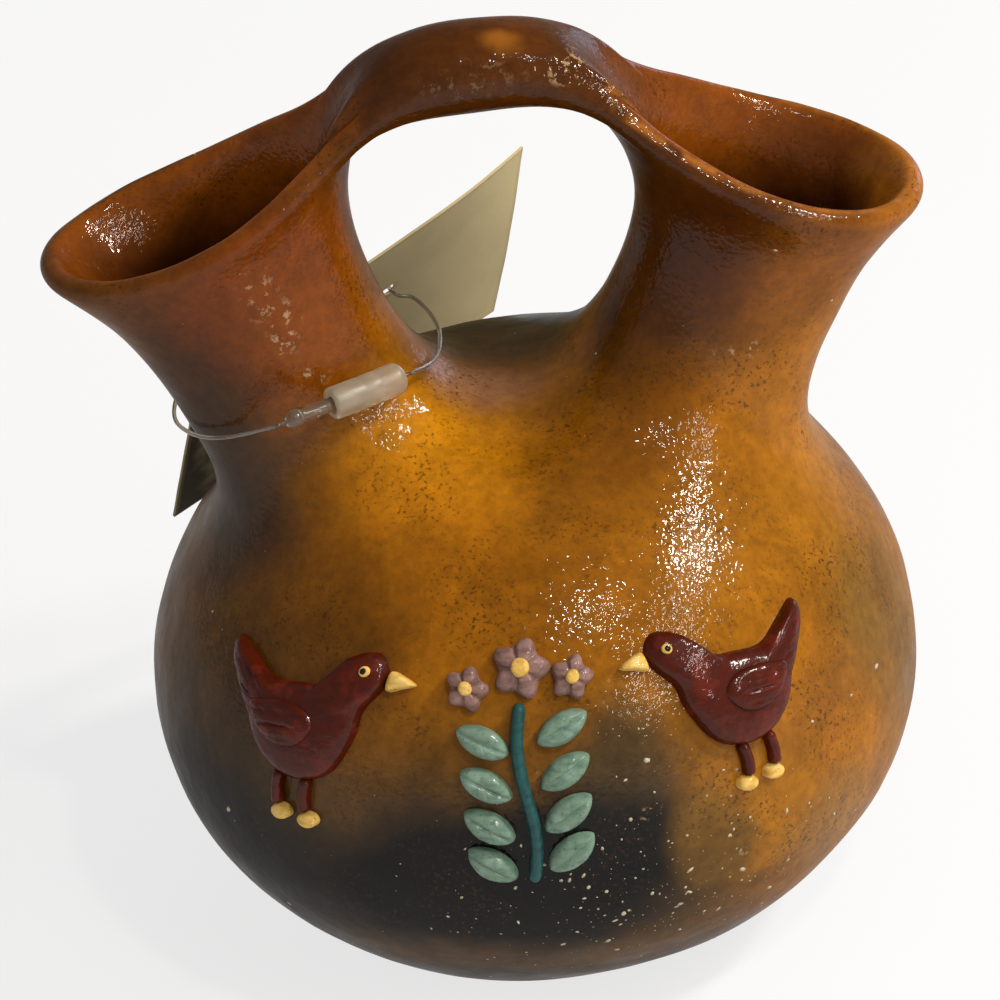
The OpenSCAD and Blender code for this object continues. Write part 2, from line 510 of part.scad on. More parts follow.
module loop_filament() {
    p = curve(ROUTE, 3);
    m = len(p);
    f = frames(p, 0, [0, 0, 1]);
    r = filament_d/2;
    pts = [for (i = [0:m-1]) for (a = [0:45:315]) p[i] + r*(cos(a)*f[i][0] + sin(a)*f[i][1])];
    color("#c8c4bc") polyhedron(pts, concat(
        [for (i = [0:m-2]) for (j = [0:7]) let (k = (j + 1)%8)
            each cell(i*8 + j, i*8 + k, i*8 + 8 + k, i*8 + 8 + j, false)],
        [[for (j = [0:7]) j]], [[for (j = [7:-1:0]) 8*m - 8 + j]]), convexity = 10);
    echo(filament_mm = len_of(p));
}
function len_of(p) = [for (i = [1:len(p)-1]) norm(p[i] - p[i-1])]*[for (i = [1:len(p)-1]) 1];

vase();
bird_left_body();
bird_left_wing();
bird_left_beak();
bird_left_legs();
bird_left_toes();
bird_right_body();
bird_right_wing();
bird_right_beak();
bird_right_legs();
bird_right_toes();
plant_stem();
plant_leaves();
plant_blossoms();
blossom_centres();
loop_filament();
loop_barrel();
loop_plug();
paper_tag();
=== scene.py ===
"""Wedding vase: pitch-glazed clay body, painted clay relief, nylon tag loop and paper tag."""

import math

import bmesh
import bpy
from bpy.props import FloatProperty, FloatVectorProperty, IntProperty, PointerProperty
from mathutils import Matrix, Vector, noise


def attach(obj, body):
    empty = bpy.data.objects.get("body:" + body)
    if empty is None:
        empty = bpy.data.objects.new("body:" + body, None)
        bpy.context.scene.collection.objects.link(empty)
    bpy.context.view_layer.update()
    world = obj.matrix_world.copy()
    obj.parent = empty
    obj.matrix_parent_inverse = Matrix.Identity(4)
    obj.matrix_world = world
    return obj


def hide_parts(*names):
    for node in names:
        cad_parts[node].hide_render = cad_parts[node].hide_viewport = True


bl_info = {
    "name": "Wedding Vase",
    "version": (1, 0, 0),
    "blender": (4, 5, 0),
    "location": "View3D > Sidebar > Wedding Vase",
    "description": "Dresses the packed wedding vase with clay, glaze, relief, loop and tag",
    "category": "Object",
}

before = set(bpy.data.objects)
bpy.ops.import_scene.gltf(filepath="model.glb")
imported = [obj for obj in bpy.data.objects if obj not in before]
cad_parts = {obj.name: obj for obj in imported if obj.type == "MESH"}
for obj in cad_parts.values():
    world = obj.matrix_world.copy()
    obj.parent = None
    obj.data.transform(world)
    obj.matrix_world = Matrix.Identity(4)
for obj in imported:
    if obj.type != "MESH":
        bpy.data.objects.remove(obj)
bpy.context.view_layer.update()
MM = 0.001

# the wall that the relief lies on, in millimetres: belly radius, belly height, dome and lower half
BELLY_R = 55.0
BELLY_Z = 37.5
DOME_H = 46.5
LOW_H = 37.5 / math.sqrt(1 - (26 / 55) ** 2)


# sizes and colours

def colour(name, text, value):
    return FloatVectorProperty(
        name=name, description=text, subtype="COLOR", size=3, min=0, max=1, default=value
    )


def length(name, text, value, low=0.0, high=1.0):
    kind = dict(unit="LENGTH", subtype="DISTANCE", precision=5)
    return FloatProperty(name=name, description=text, min=low, max=high, default=value, **kind)


def power(name, text, value):
    return FloatProperty(name=name, description=text, unit="POWER", min=0, default=value)


class VaseClay(bpy.types.PropertyGroup):
    ochre: colour("Ochre", "Golden clay of the belly and shoulders", (0.30, 0.108, 0.003))
    amber: colour("Amber", "Orange clay of the necks", (0.205, 0.062, 0.003))
    red_brown: colour("Red-brown", "Darker clay of the lips and handle", (0.105, 0.028, 0.002))
    inside: colour("Inside", "Maroon brown down inside the spouts", (0.020, 0.004, 0.001))
    cloud: colour("Fire cloud", "Black of the fire cloud", (0.0008, 0.0007, 0.0004))
    smoke: colour("Smoke", "Olive grey at the edge of the fire cloud", (0.050, 0.034, 0.012))
    foot: colour("Foot", "Grey-brown clay round the foot", (0.012, 0.010, 0.006))
    scuff: colour("Scuff", "Pale clay where the glaze is rubbed off", (0.40, 0.25, 0.13))
    fleck: colour("Fleck", "Cream flecks of paint on the lower belly", (0.60, 0.53, 0.36))
    uneven: length("Unevenness", "How far the hand-built wall strays", 0.00025, 0, 0.001)
    bubble: length("Glaze bubbles", "Width of the bubbles in the glaze", 0.0007, 0.0003, 0.004)
    fleck_size: length("Fleck size", "Width of the largest fleck", 0.0011, 0.0001, 0.003)
    fleck_density: FloatProperty(
        name="Fleck density", description="Flecks on each square metre", min=0, default=420000
    )
    seed: IntProperty(name="Seed", description="Where the flecks fall", default=4)


class VaseRelief(bpy.types.PropertyGroup):
    maroon: colour("Maroon", "Slip on the birds", (0.070, 0.008, 0.002))
    teal: colour("Teal", "Slip on the leaves", (0.17, 0.26, 0.19))
    deep_teal: colour("Deep teal", "Slip on the stem", (0.02, 0.085, 0.085))
    mauve: colour("Mauve", "Slip on the blossoms", (0.26, 0.155, 0.13))
    cream: colour("Cream", "Slip on beaks, toes and blossom centres", (0.78, 0.50, 0.12))
    groove: length("Groove", "Depth of the scored lines", 0.00028, 0, 0.001)


class VaseTag(bpy.types.PropertyGroup):
    nylon: colour("Nylon", "Milky nylon of the lock", (0.72, 0.61, 0.45))
    filament: length("Filament", "Diameter of the filament", 0.0006, 0.0003, 0.002)
    paper: colour("Paper", "Cream paper of the tag", (0.78, 0.65, 0.36))


class VaseStage(bpy.types.PropertyGroup):
    floor: colour("Floor", "Pale floor", (0.88, 0.88, 0.88))
    key: power("Key", "Power of the lamp above right", 8.0)
    front: power("Front", "Power of the small lamp above the front right", 3.0)
    tube: power("Tube", "Power of the long lamp at the front right", 4.2)
    window: power("Window", "Power of the cool light behind", 1.5)
    world: FloatProperty(
        name="World", description="Strength of the soft light all round", default=0.33
    )


# node helpers

# names for the shader sockets that hold a constant
SOCKETS = {
    "roughness": "Roughness",
    "specular": "Specular IOR Level",
    "ior": "IOR",
    "coat": "Coat Weight",
    "coat_roughness": "Coat Roughness",
    "coat_ior": "Coat IOR",
    "see_through": "Transmission Weight",
}


def put(tree, socket, value):
    """Links the socket to value, or sets it where value isn't a socket."""
    if isinstance(value, bpy.types.NodeSocket):
        tree.links.new(value, socket)
    elif socket.type == "RGBA" and len(value) == 3:
        socket.default_value = (*value, 1)
    else:
        socket.default_value = value


def add_node(tree, kind, inputs=(), **settings):
    made = tree.nodes.new(kind)
    for key, value in settings.items():
        setattr(made, key, value)
    for key, value in dict(inputs).items():
        put(tree, made.inputs[key], value)
    return made


class Finish:
    """A material that is put together from nodes on Object coordinates, in metres."""

    def __init__(self, name, **constants):
        self.material = bpy.data.materials.new(name)
        self.material.use_nodes = True
        self.tree = self.material.node_tree
        self.tree.nodes.clear()
        self.shader = self.node("BsdfPrincipled")
        self.out = self.node("OutputMaterial", {0: self.shader.outputs[0]})
        for key, value in {"coat_roughness": 0.1, **constants}.items():
            self.shader.inputs[SOCKETS[key]].default_value = value
        self.place = self.node("TexCoord").outputs["Object"]

    def node(self, kind, inputs=(), **settings):
        return add_node(self.tree, "ShaderNode" + kind, inputs, **settings)

    def noise(self, size, detail=2.0, rough=0.5, place=None):
        """Soft noise whose lumps are about size metres wide."""
        sockets = {"Scale": 1 / size, "Detail": detail, "Roughness": rough}
        return self.node("TexNoise", {"Vector": place or self.place, **sockets}).outputs["Fac"]

    def band(self, value, low, high, start=0.0, end=1.0, smooth=True):
        """value from low to high becomes start to end."""
        return self.node(
            "MapRange",
            {0: value, 1: low, 2: high, 3: start, 4: end},
            interpolation_type="SMOOTHSTEP" if smooth else "LINEAR",
        ).outputs[0]

    def maths(self, kind, a, b, clamp=False):
        return self.node("Math", {0: a, 1: b}, operation=kind, use_clamp=clamp).outputs[0]

    def times(self, *values):
        total = values[0]
        for value in values[1:]:
            total = self.maths("MULTIPLY", total, value)
        return total

    def mix(self, share, under, over, blend="MIX"):
        sockets = {0: share, 6: under, 7: over}
        made = self.node("Mix", sockets, data_type="RGBA", blend_type=blend, clamp_factor=True)
        return made.outputs[2]

    def vector(self, kind, a, b):
        other = 3 if kind == "SCALE" else 1
        return self.node("VectorMath", {0: a, other: b}, operation=kind).outputs[0]

    def warped(self, size, amount):
        """Object coordinates pushed about, so that the edge of a patch wanders."""
        wander = self.node("TexNoise", {"Vector": self.place, "Scale": 1 / size, "Detail": 2.0})
        centred = self.vector("SUBTRACT", wander.outputs["Color"], (0.5, 0.5, 0.5))
        return self.vector("ADD", self.place, self.vector("SCALE", centred, amount))

    def patch(self, centre, reach, soft, place):
        """1 inside an ellipsoid patch, 0 outside it. centre and reach are in millimetres."""
        gone = self.vector("SUBTRACT", place, [v * MM for v in centre])
        unit = self.vector("MULTIPLY", gone, [1 / MM / v for v in reach])
        far = self.node("VectorMath", {0: unit}, operation="LENGTH").outputs["Value"]
        return self.band(far, 1 - soft, 1 + soft, 1.0, 0.0)

    def painted(self, base, place, *patches):
        """base under patches of (centre, reach, softness, colour, strength), in their order."""
        for centre, reach, soft, tone, strength in patches:
            share = self.times(self.patch(centre, reach, soft, place), strength)
            base = self.mix(share, base, tone)
        return base

    def attribute(self, name):
        return self.node("Attribute", attribute_name=name).outputs["Fac"]

    def bump(self, height, strength, distance, under=None):
        sockets = {"Strength": strength, "Distance": distance, "Height": height}
        if under is not None:
            sockets["Normal"] = under
        return self.node("Bump", sockets).outputs[0]

    def finish(self, base=None, roughness=None, normal=None, coat_normal=None):
        given = {"Base Color": base, "Roughness": roughness, "Normal": normal}
        for name, value in {**given, "Coat Normal": coat_normal}.items():
            if value is not None:
                put(self.tree, self.shader.inputs[name], value)
        return self.material


# mesh helpers

def cos_sin(degrees):
    return math.cos(math.radians(degrees)), math.sin(math.radians(degrees))


def add_object(name, data):
    made = bpy.data.objects.new(name, data)
    bpy.context.scene.collection.objects.link(made)
    return made


def piece(name, mesh, material, slot_name, *nodes):
    """A finished piece at the origin, riding on the body, that stands for its CAD nodes."""
    made = add_object(name, mesh)
    mesh.materials.clear()
    mesh.materials.append(material)
    for face in mesh.polygons:
        face.use_smooth = True
    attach(made, "root")
    if nodes:
        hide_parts(*nodes)
    return made


def mesh_from(name, points, faces, scale=MM):
    mesh = bpy.data.meshes.new(name)
    mesh.from_pydata([tuple(c * scale for c in p) for p in points], [], faces)
    mesh.validate()
    mesh.update()
    return mesh


def bake(holder):
    """The plain mesh that a holder's live modifier makes. The holder is removed."""
    deps = bpy.context.evaluated_depsgraph_get()
    mesh = bpy.data.meshes.new_from_object(holder.evaluated_get(deps))
    holder.modifiers.clear()
    bpy.data.objects.remove(holder)
    return mesh


def outward(mesh):
    """Turns the faces' normals outward."""
    bm = bmesh.new()
    bm.from_mesh(mesh)
    bmesh.ops.recalc_face_normals(bm, faces=bm.faces)
    bm.to_mesh(mesh)
    bm.free()
    return mesh


def lathe(profile, count=48):
    """Points and faces of a profile of (radius, along) turned round the local Z axis."""
    points, faces, rows = [], [], []
    for radius, along in profile:
        turns = [2 * math.pi * i / count for i in range(count if radius > 1e-6 else 1)]
        rows.append([len(points) + i % len(turns) for i in range(count)])
        points += [(radius * math.cos(a), radius * math.sin(a), along) for a in turns]
    for a, b in zip(rows, rows[1:]):
        for i in range(count):
            k = (i + 1) % count
            # a row on the axis is a single point
            ring = list(dict.fromkeys((a[i], a[k], b[k], b[i])))
            if len(ring) > 2:
                faces.append(ring)
    return points, faces


def bands(rows, count, closed=True):
    """Faces between neighbouring rows of count points each."""
    made = []
    for r in range(rows - 1):
        for i in range(count if closed else count - 1):
            a, b = r * count + i, r * count + (i + 1) % count
            made.append([a, b, b + count, a + count])
    return made


def smooth_line(points, steps, closed=True):
    """Catmull-Rom line through a few points."""
    made = []
    count = len(points)

    def pick(k):
        return Vector(points[k % count if closed else min(max(k, 0), count - 1)])

    for i in range(count if closed else count - 1):
        a, b, c, d = (pick(i + k) for k in (-1, 0, 1, 2))
        for j in range(steps):
            t = j / steps
            square, cube = 2 * a - 5 * b + 4 * c - d, 3 * b - a - 3 * c + d
            made.append(0.5 * (2 * b + (c - a) * t + square * t**2 + cube * t**3))
    if not closed:
        made.append(Vector(points[-1]))
    return made


# clay body

# a thin coat of a high IOR: bright glints and little of the pale floor at the edges
GLAZE = {"coat": 0.08, "coat_ior": 2.6}


def clay_finish(clay):
    """Ochre clay, smoked in the firing, under a bubbly pitch glaze."""
    f = Finish("pitch_glazed_clay", **GLAZE, specular=0.02, roughness=0.45, coat_roughness=0.05)
    near = f.warped(0.016, 0.009)
    tight = f.warped(0.006, 0.004)
    x, y, z = f.node("SeparateXYZ", {0: near}).outputs

    # golden belly, amber necks, red-brown lips and handle
    base = f.mix(f.band(z, 0.088, 0.108), clay.ochre, clay.amber)
    base = f.mix(f.band(z, 0.100, 0.124), base, clay.red_brown)
    # the left side is darker: partly smoke staining from the firing, partly painted shade
    base = f.mix(f.times(f.band(x, -0.008, -0.040), 0.55), base, (0.125, 0.040, 0.002))
    # the back half is browner
    base = f.mix(f.times(f.band(y, -0.004, 0.020), 0.8), base, (0.075, 0.040, 0.011))

    base = f.painted(
        base,
        near,
        # centre, reach, softness, colour, strength
        # the next four darken the left belly, shoulder and neck edge: partly smoke staining, partly
        # painted shade
        ((-52, -20, 56), (17, 34, 34), 0.5, (0.105, 0.041, 0.002), 0.85),
        ((-50, -28, 44), (14, 24, 16), 0.5, (0.050, 0.022, 0.002), 0.8),
        ((-43, -6, 80), (12, 22, 14), 0.5, (0.036, 0.018, 0.009), 0.9),
        ((-42, -14, 98), (8, 18, 18), 0.6, (0.048, 0.018, 0.004), 0.8),
        ((-31, -14, 110), (15, 12, 12), 0.6, (0.190, 0.038, 0.001), 0.8),
        ((-26, -13, 98), (10, 10, 10), 0.6, (0.200, 0.046, 0.001), 0.8),
        ((20, -11, 96), (8, 12, 20), 0.5, (0.065, 0.019, 0.001), 0.85),
        ((28, -14, 104), (10, 12, 12), 0.6, (0.095, 0.024, 0.001), 0.85),
        ((40, -14, 102), (8, 14, 12), 0.6, (0.27, 0.085, 0.006), 0.8),
        ((28, -22, 86), (12, 14, 8), 0.6, (0.21, 0.066, 0.001), 0.8),
        ((40, -14, 80), (12, 16, 10), 0.6, (0.38, 0.135, 0.005), 0.75),
        ((44, -16, 64), (10, 16, 10), 0.6, (0.34, 0.130, 0.004), 0.7),
        # a brighter gold at the base of the left neck, where it faces the lamp: painted light over
        # the golden clay
        ((-8, -19, 81), (13, 11, 11), 0.7, (0.58, 0.22, 0.003), 0.9),
        ((-16, -30, 72), (16, 12, 14), 0.7, (0.38, 0.125, 0.002), 0.7),
        ((-4, -4, 85), (8, 5, 5), 0.6, (0.40, 0.180, 0.085), 0.75),
        ((0, 14, 84), (36, 12, 12), 0.5, (0.062, 0.033, 0.010), 0.85),
        ((0, 38, 74), (46, 24, 18), 0.8, (0.020, 0.012, 0.006), 0.9),
        ((47, -26, 53), (8, 10, 10), 0.8, (0.115, 0.068, 0.010), 0.8),
        ((52, -22, 40), (8, 14, 12), 0.6, (0.21, 0.100, 0.022), 0.8),
        ((36, -40, 46), (12, 12, 14), 0.7, (0.33, 0.115, 0.004), 0.8),
        ((24, -3, 123), (9, 14, 6), 0.6, (0.062, 0.020, 0.003), 0.8),
        ((8, -20, 81), (13, 10, 10), 0.7, (0.150, 0.046, 0.001), 0.8),
        ((2, -37, 71), (15, 10, 11), 0.7, (0.235, 0.076, 0.001), 0.7),
        ((-28, -33, 65), (10, 12, 13), 0.7, (0.085, 0.029, 0.001), 0.75),
        ((-27, 8, 121), (12, 10, 12), 0.8, (0.018, 0.005, 0.001), 0.85),
        ((-15, -2, 135), (16, 12, 10), 0.9, (0.045, 0.012, 0.001), 0.8),
        ((20, 4, 127), (15, 14, 11), 0.7, (0.046, 0.015, 0.003), 0.9),
        ((31, -14, 110), (9, 10, 9), 0.6, (0.048, 0.011, 0.001), 0.8),
        ((51, -17, 49), (8, 12, 12), 0.7, (0.170, 0.076, 0.006), 0.8),
        ((54, -2, 103), (6, 16, 7), 0.6, (0.40, 0.135, 0.012), 0.8),
    )

    # smoke and soot of the fire cloud on the lower front, and amber where it ends on the right
    base = f.painted(
        base,
        near,
        ((-12, -44, 30), (40, 30, 24), 0.30, clay.smoke, 0.75),
        ((9, -52, 50), (8, 12, 11), 0.5, (0.040, 0.034, 0.018), 0.8),
        ((-50, -26, 27), (26, 30, 17), 0.45, (0.0035, 0.0030, 0.0022), 0.93),
        ((-11, -50, 33), (29, 26, 13), 0.32, clay.cloud, 0.98),
        ((3, -52, 40), (16, 14, 8), 0.4, (0.003, 0.003, 0.002), 0.92),
        ((27, -47, 37), (10.5, 12, 10), 0.45, (0.36, 0.135, 0.003), 0.85),
        ((37, -38, 29), (10, 10, 7), 0.45, (0.27, 0.130, 0.032), 0.85),
        ((19, -50, 35), (6, 10, 8), 0.45, (0.150, 0.075, 0.010), 0.85),
    )

    # streaky grey-brown round the foot
    streak = f.node("Mapping", {0: f.place, 3: (60, 60, 700)}).outputs[0]
    lines = f.node("TexNoise", {"Vector": streak, "Scale": 1.0, "Detail": 3.0}).outputs["Fac"]
    low = f.band(f.maths("ADD", z, f.times(lines, 0.010)), 0.014, 0.027, 1.0, 0.0)
    east = f.band(x, 0.004, 0.034)
    base = f.mix(f.times(low, 0.85), base, f.mix(east, clay.foot, (0.105, 0.066, 0.032)))
    base = f.mix(f.times(low, f.band(lines, 0.45, 0.7), 0.4), base, (0.045, 0.033, 0.020))

    # down inside the spouts it is maroon brown, and lower still painted shade makes it nearly black
    inner = f.attribute("inner")
    deep_shade = f.band(z, 0.116, 0.100)
    base = f.mix(f.times(inner, 0.8), base, (0.250, 0.058, 0.001))
    base = f.mix(f.times(inner, deep_shade, 0.95), base, clay.inside)

    # the far end of the right lip is a lighter orange
    base = f.painted(base, near, ((56, -5, 106), (6, 12, 8), 0.6, (0.38, 0.125, 0.010), 0.9))

    # rubbed lips
    worn = f.times(f.attribute("edge"), f.band(f.noise(0.004, 4), 0.32, 0.56), 0.8)
    bare = f.mix(f.band(x, -0.01, 0.03), (0.150, 0.045, 0.006), (0.40, 0.140, 0.020))
    base = f.mix(worn, base, bare)

    # broad and fine mottling
    broad = f.band(f.noise(0.013, 3, 0.6, near), 0.3, 0.7, 0.72, 1.22, smooth=False)
    fine = f.band(f.noise(0.0016, 3, 0.65), 0.3, 0.7, 0.78, 1.14, smooth=False)
    shade = f.times(broad, fine)
    grey = f.node("CombineColor", {0: shade, 1: shade, 2: shade}).outputs[0]
    base = f.mix(1.0, base, grey, "MULTIPLY")

    # dark grains, thick in some places and thin in others
    crowd = f.band(f.noise(0.011, 3), 0.42, 0.68)
    grain = f.band(f.noise(0.0006, 2.5, 0.6), 0.54, 0.66)
    pits = f.times(grain, f.maths("ADD", f.times(crowd, 0.66), 0.10))
    base = f.mix(pits, base, (0.038, 0.016, 0.002))

    # rubbed and flaked places
    flake = f.band(f.noise(0.0015, 4, 0.7), 0.54, 0.62)
    rubbed = 0.0
    for centre, reach, soft, strength in (
        ((-32.5, -14, 108), (2.4, 8, 4.0), 0.6, 0.7),
        ((-30.5, -14, 102.6), (2.2, 8, 3.4), 0.6, 0.9),
        ((-27.6, -14, 95), (2.2, 8, 1.4), 0.6, 0.9),
        ((32, -14, 90.5), (3.4, 8, 1.2), 0.6, 0.95),
        ((12, -6.5, 133), (2.6, 5, 1.6), 0.5, 0.95),
        ((-1, -7, 133), (7, 5, 2.2), 0.6, 0.2),
        ((-40, 13, 120), (6, 6, 4), 0.6, 0.4),
        ((10.5, -53.4, 43), (1.6, 6, 1.0), 0.5, 0.9),
        ((23, -49, 32), (1.4, 6, 0.7), 0.5, 0.9),
    ):
        spot = f.times(f.patch(centre, reach, soft, tight), flake, strength)
        rubbed = spot if rubbed == 0.0 else f.maths("MAXIMUM", rubbed, spot)
    base = f.mix(rubbed, base, clay.scuff)
    base = f.painted(base, tight, ((3.4, -3.4, 137), (2.2, 1.4, 3), 0.9, (0.33, 0.11, 0.010), 0.75))

    # the glaze: small bubbles over slow waves, dull where it is rubbed
    bubbles = f.noise(clay.bubble, 0.8, 0.5)
    waves = f.noise(0.007, 2, 0.5)
    wall_normal = f.bump(waves, 0.30, 0.0010)
    glaze_normal = f.bump(bubbles, 0.5, 0.00024, wall_normal)
    rough = f.band(waves, 0.3, 0.7, 0.32, 0.48, smooth=False)
    rough = f.maths("ADD", rough, f.times(rubbed, 0.35), clamp=True)
    return f.finish(base, rough, wall_normal, glaze_normal)


def axis_of_hollow(point):
    """Nearest point of the hollow's middle line: up the body, then up one of the necks."""
    x, z = point.x / MM, point.z / MM
    side = -1 if x < 0 else 1
    if z < 70:
        return Vector((0, 0, min(z, 50) * 0.5 + 20)) * MM
    share = min(max((z - 84) / 28, 0), 1)
    return Vector((side * (30 + 8 * share), 0, max(z, 84) + 4)) * MM


class WEDDING_VASE_OT_skin(bpy.types.Operator):
    """Smooth hand-built clay wall in place of the faceted one"""

    bl_idname = "wedding_vase.skin"
    bl_label = "Clay body"

    def execute(self, context):
        clay = context.scene.vase_clay
        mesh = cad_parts["vase"].data.copy()
        mesh.name = "clay_skin"
        bm = bmesh.new()
        bm.from_mesh(mesh)
        bmesh.ops.remove_doubles(bm, verts=bm.verts, dist=2e-6)
        bmesh.ops.join_triangles(
            bm,
            faces=bm.faces,
            angle_face_threshold=math.radians(38),
            angle_shape_threshold=math.radians(60),
        )
        bm.to_mesh(mesh)
        bm.free()
        holder = add_object("clay_holder", mesh)
        rounds = holder.modifiers.new("round", "SUBSURF")
        rounds.levels = rounds.render_levels = 2
        smooth = bake(holder)

        bm = bmesh.new()
        bm.from_mesh(smooth)
        bm.normal_update()
        inner = bm.verts.layers.float.new("inner")
        edge = bm.verts.layers.float.new("edge")
        fleck = bm.verts.layers.float.new("fleck")
        for vert in bm.verts:
            spot, normal = vert.co.copy(), vert.normal.copy()
            towards = (axis_of_hollow(spot) - spot).normalized()
            facing = towards.dot(normal)
            x, y, z = spot / MM
            # the inside colour fades where the spouts run out into the handle
            fade = min(max((abs(x) - 12) / 13, 0), 1) if z > 78 else 1.0
            vert[inner] = min(max((facing - 0.05) / 0.3, 0), 1) * fade * fade * (3 - 2 * fade)
            lip = max(0, 1 - abs(facing) / 0.5) if z > 98 and abs(x) > 17 else 0.0
            vert[edge] = lip
            # flecks lie thickest on the lower right of the front
            near = math.exp(-(((x - 10) / 20) ** 2) - ((z - 30) / 13) ** 2) if y < 0 else 0.0
            vert[fleck] = near * (1 - vert[inner]) + (0.006 if vert[inner] < 0.5 else 0.0)
            keep = min(max((z - 0.4) / 3, 0), 1)
            stray = noise.noise(spot / 0.019)
            stray += 0.35 * noise.noise(spot / 0.0062 + Vector((7, 3, 1)))
            rim = 1 + 0.8 * lip
            near_relief = 0.4 if (y < -20 and 22 < z < 72) else 1.0
            vert.co += normal * stray * clay.uneven * keep * rim * near_relief
        bm.to_mesh(smooth)
        bm.free()
        piece("clay_body", smooth, clay_finish(clay), "pitch_glazed_clay", "vase")
        return {"FINISHED"}


# flecks

def fleck_tree(material):
    """Flat flecks scattered on a surface where its fleck attribute is high."""
    tree = bpy.data.node_groups.new("paint_flecks", "GeometryNodeTree")
    for name, way, kind in (
        ("Geometry", "INPUT", "Geometry"),
        ("Density", "INPUT", "Float"),
        ("Smallest", "INPUT", "Float"),
        ("Largest", "INPUT", "Float"),
        ("Seed", "INPUT", "Int"),
        ("Geometry", "OUTPUT", "Geometry"),
    ):
        tree.interface.new_socket(name, in_out=way, socket_type="NodeSocket" + kind)

    def node(kind, inputs=(), **settings):
        return add_node(tree, kind, inputs, **settings).outputs

    def any_between(low, high):
        return node("FunctionNodeRandomValue", {0: low, 1: high}, data_type="FLOAT_VECTOR")[0]

    given = node("NodeGroupInput")
    named = {"Name": "fleck"}
    mask = node("GeometryNodeInputNamedAttribute", named, data_type="FLOAT")["Attribute"]
    density = node("ShaderNodeMath", {0: mask, 1: given["Density"]}, operation="MULTIPLY")[0]
    points = node(
        "GeometryNodeDistributePointsOnFaces",
        {"Mesh": given["Geometry"], "Density": density, "Seed": given["Seed"]},
    )
    flake = node("GeometryNodeMeshIcoSphere", {"Radius": 0.5, "Subdivisions": 1})["Mesh"]
    # most flecks are small and a few are large
    drawn = node("FunctionNodeRandomValue", data_type="FLOAT")[1]
    share = node("ShaderNodeMath", {0: drawn, 1: 5.0}, operation="POWER")[0]
    size = node("ShaderNodeMapRange", {0: share, 3: given["Smallest"], 4: given["Largest"]})[0]
    shape = any_between((0.6, 0.5, 0.10), (1.5, 0.9, 0.16))
    scale = node("ShaderNodeVectorMath", {0: shape, 3: size}, operation="SCALE")[0]
    spin = any_between((0, 0, 0), (0, 0, 6.28))
    turn = node(
        "FunctionNodeRotateRotation", {0: points["Rotation"], 1: spin}, rotation_space="LOCAL"
    )[0]
    flecks = node(
        "GeometryNodeInstanceOnPoints",
        {"Points": points["Points"], "Instance": flake, "Rotation": turn, "Scale": scale},
    )[0]
    real = node("GeometryNodeRealizeInstances", {0: flecks})[0]
    painted = node("GeometryNodeSetMaterial", {0: real, "Material": material})[0]
    node("NodeGroupOutput", {0: painted})
    return tree


def set_inputs(modifier, **values):
    """Sets a Geometry Nodes modifier's inputs, given by name, through their identifiers."""
    for item in modifier.node_group.interface.items_tree:
        if item.item_type == "SOCKET" and item.in_out == "INPUT" and item.name in values:
            modifier[item.identifier] = values[item.name]


class WEDDING_VASE_OT_flecks(bpy.types.Operator):
    """Cream paint flecks on the glaze"""

    bl_idname = "wedding_vase.flecks"
    bl_label = "Paint flecks"

    def execute(self, context):
        clay = context.scene.vase_clay
        f = Finish("cream_fleck", roughness=0.55, coat=0.3)
        tone = f.mix(f.band(f.noise(0.003, 2), 0.35, 0.65), clay.fleck, (0.40, 0.34, 0.22))
        material = f.finish(tone, None, f.bump(f.noise(0.0003, 3), 0.4, 0.00005))
        holder = add_object("fleck_holder", bpy.data.objects["clay_body"].data.copy())
        scatter = holder.modifiers.new("scatter", "NODES")
        scatter.node_group = fleck_tree(material)
        drawn = {"Density": clay.fleck_density, "Largest": clay.fleck_size, "Seed": clay.seed}
        set_inputs(scatter, Smallest=0.00016, **drawn)
        piece("paint_flecks", bake(holder), material, "cream_slip")
        return {"FINISHED"}


# relief

def wall(turn, lat, out):
    """Point on the clay wall, out millimetres off it. turn and lat are in degrees."""
    (ca, sa), (cb, sb) = cos_sin(turn), cos_sin(lat)
    half = DOME_H if lat > 0 else LOW_H
    spot = Vector((BELLY_R * cb * ca, BELLY_R * cb * sa, BELLY_Z + half * sb))
    return spot + Vector((half * cb * ca, half * cb * sa, BELLY_R * sb)).normalized() * out


def beside(way, lat):
    return -96 + math.degrees(way / (BELLY_R * cos_sin(lat)[0]))


# a figure is (angle round the body, latitude, 1 facing right or -1 facing left, scale)
PLANT = (-96, 15, 1, 1.0)
LEFT_BIRD = (beside(-33.22, 21), 21, 1, 1.0)
RIGHT_BIRD = (beside(31.94, 22), 22, -1, 30 / 31.5)


def laid(figure, q, out):
    turn, lat, way, scale = figure
    up = lat + math.degrees(q[1] * scale / DOME_H)
    side = turn + math.degrees(q[0] * way * scale / (BELLY_R * cos_sin(up)[0]))
    return wall(side, up, out)


BODY_LINE = [
    (9, 0.5), (9.4, 4), (11.3, 7), (11.6, 9.4), (9.6, 11.6), (6.6, 11), (4.4, 8.6), (2.4, 6.4),
    (-1, 5.6), (-5.5, 4.9), (-9.5, 6.4), (-13.6, 7.8), (-14, 5.8), (-11.5, 2.6), (-8.6, -0.5),
    (-6, -4.2), (-2, -6.6), (2.5, -6.8), (6.5, -4.6),
]  # fmt: skip
WING_LINE = [
    (4.6, 0.8), (3, 2.8), (-0.5, 3.2), (-4, 2.4), (-6, 1.4), (-4.6, -0.8), (-1.5, -2.4), (2.5, -2),
]  # fmt: skip
BEAK_LINE = [(-1.5, -1.2), (0.6, -0.7), (2.3, -0.1), (0.7, 0.8), (-1.5, 1.3)]


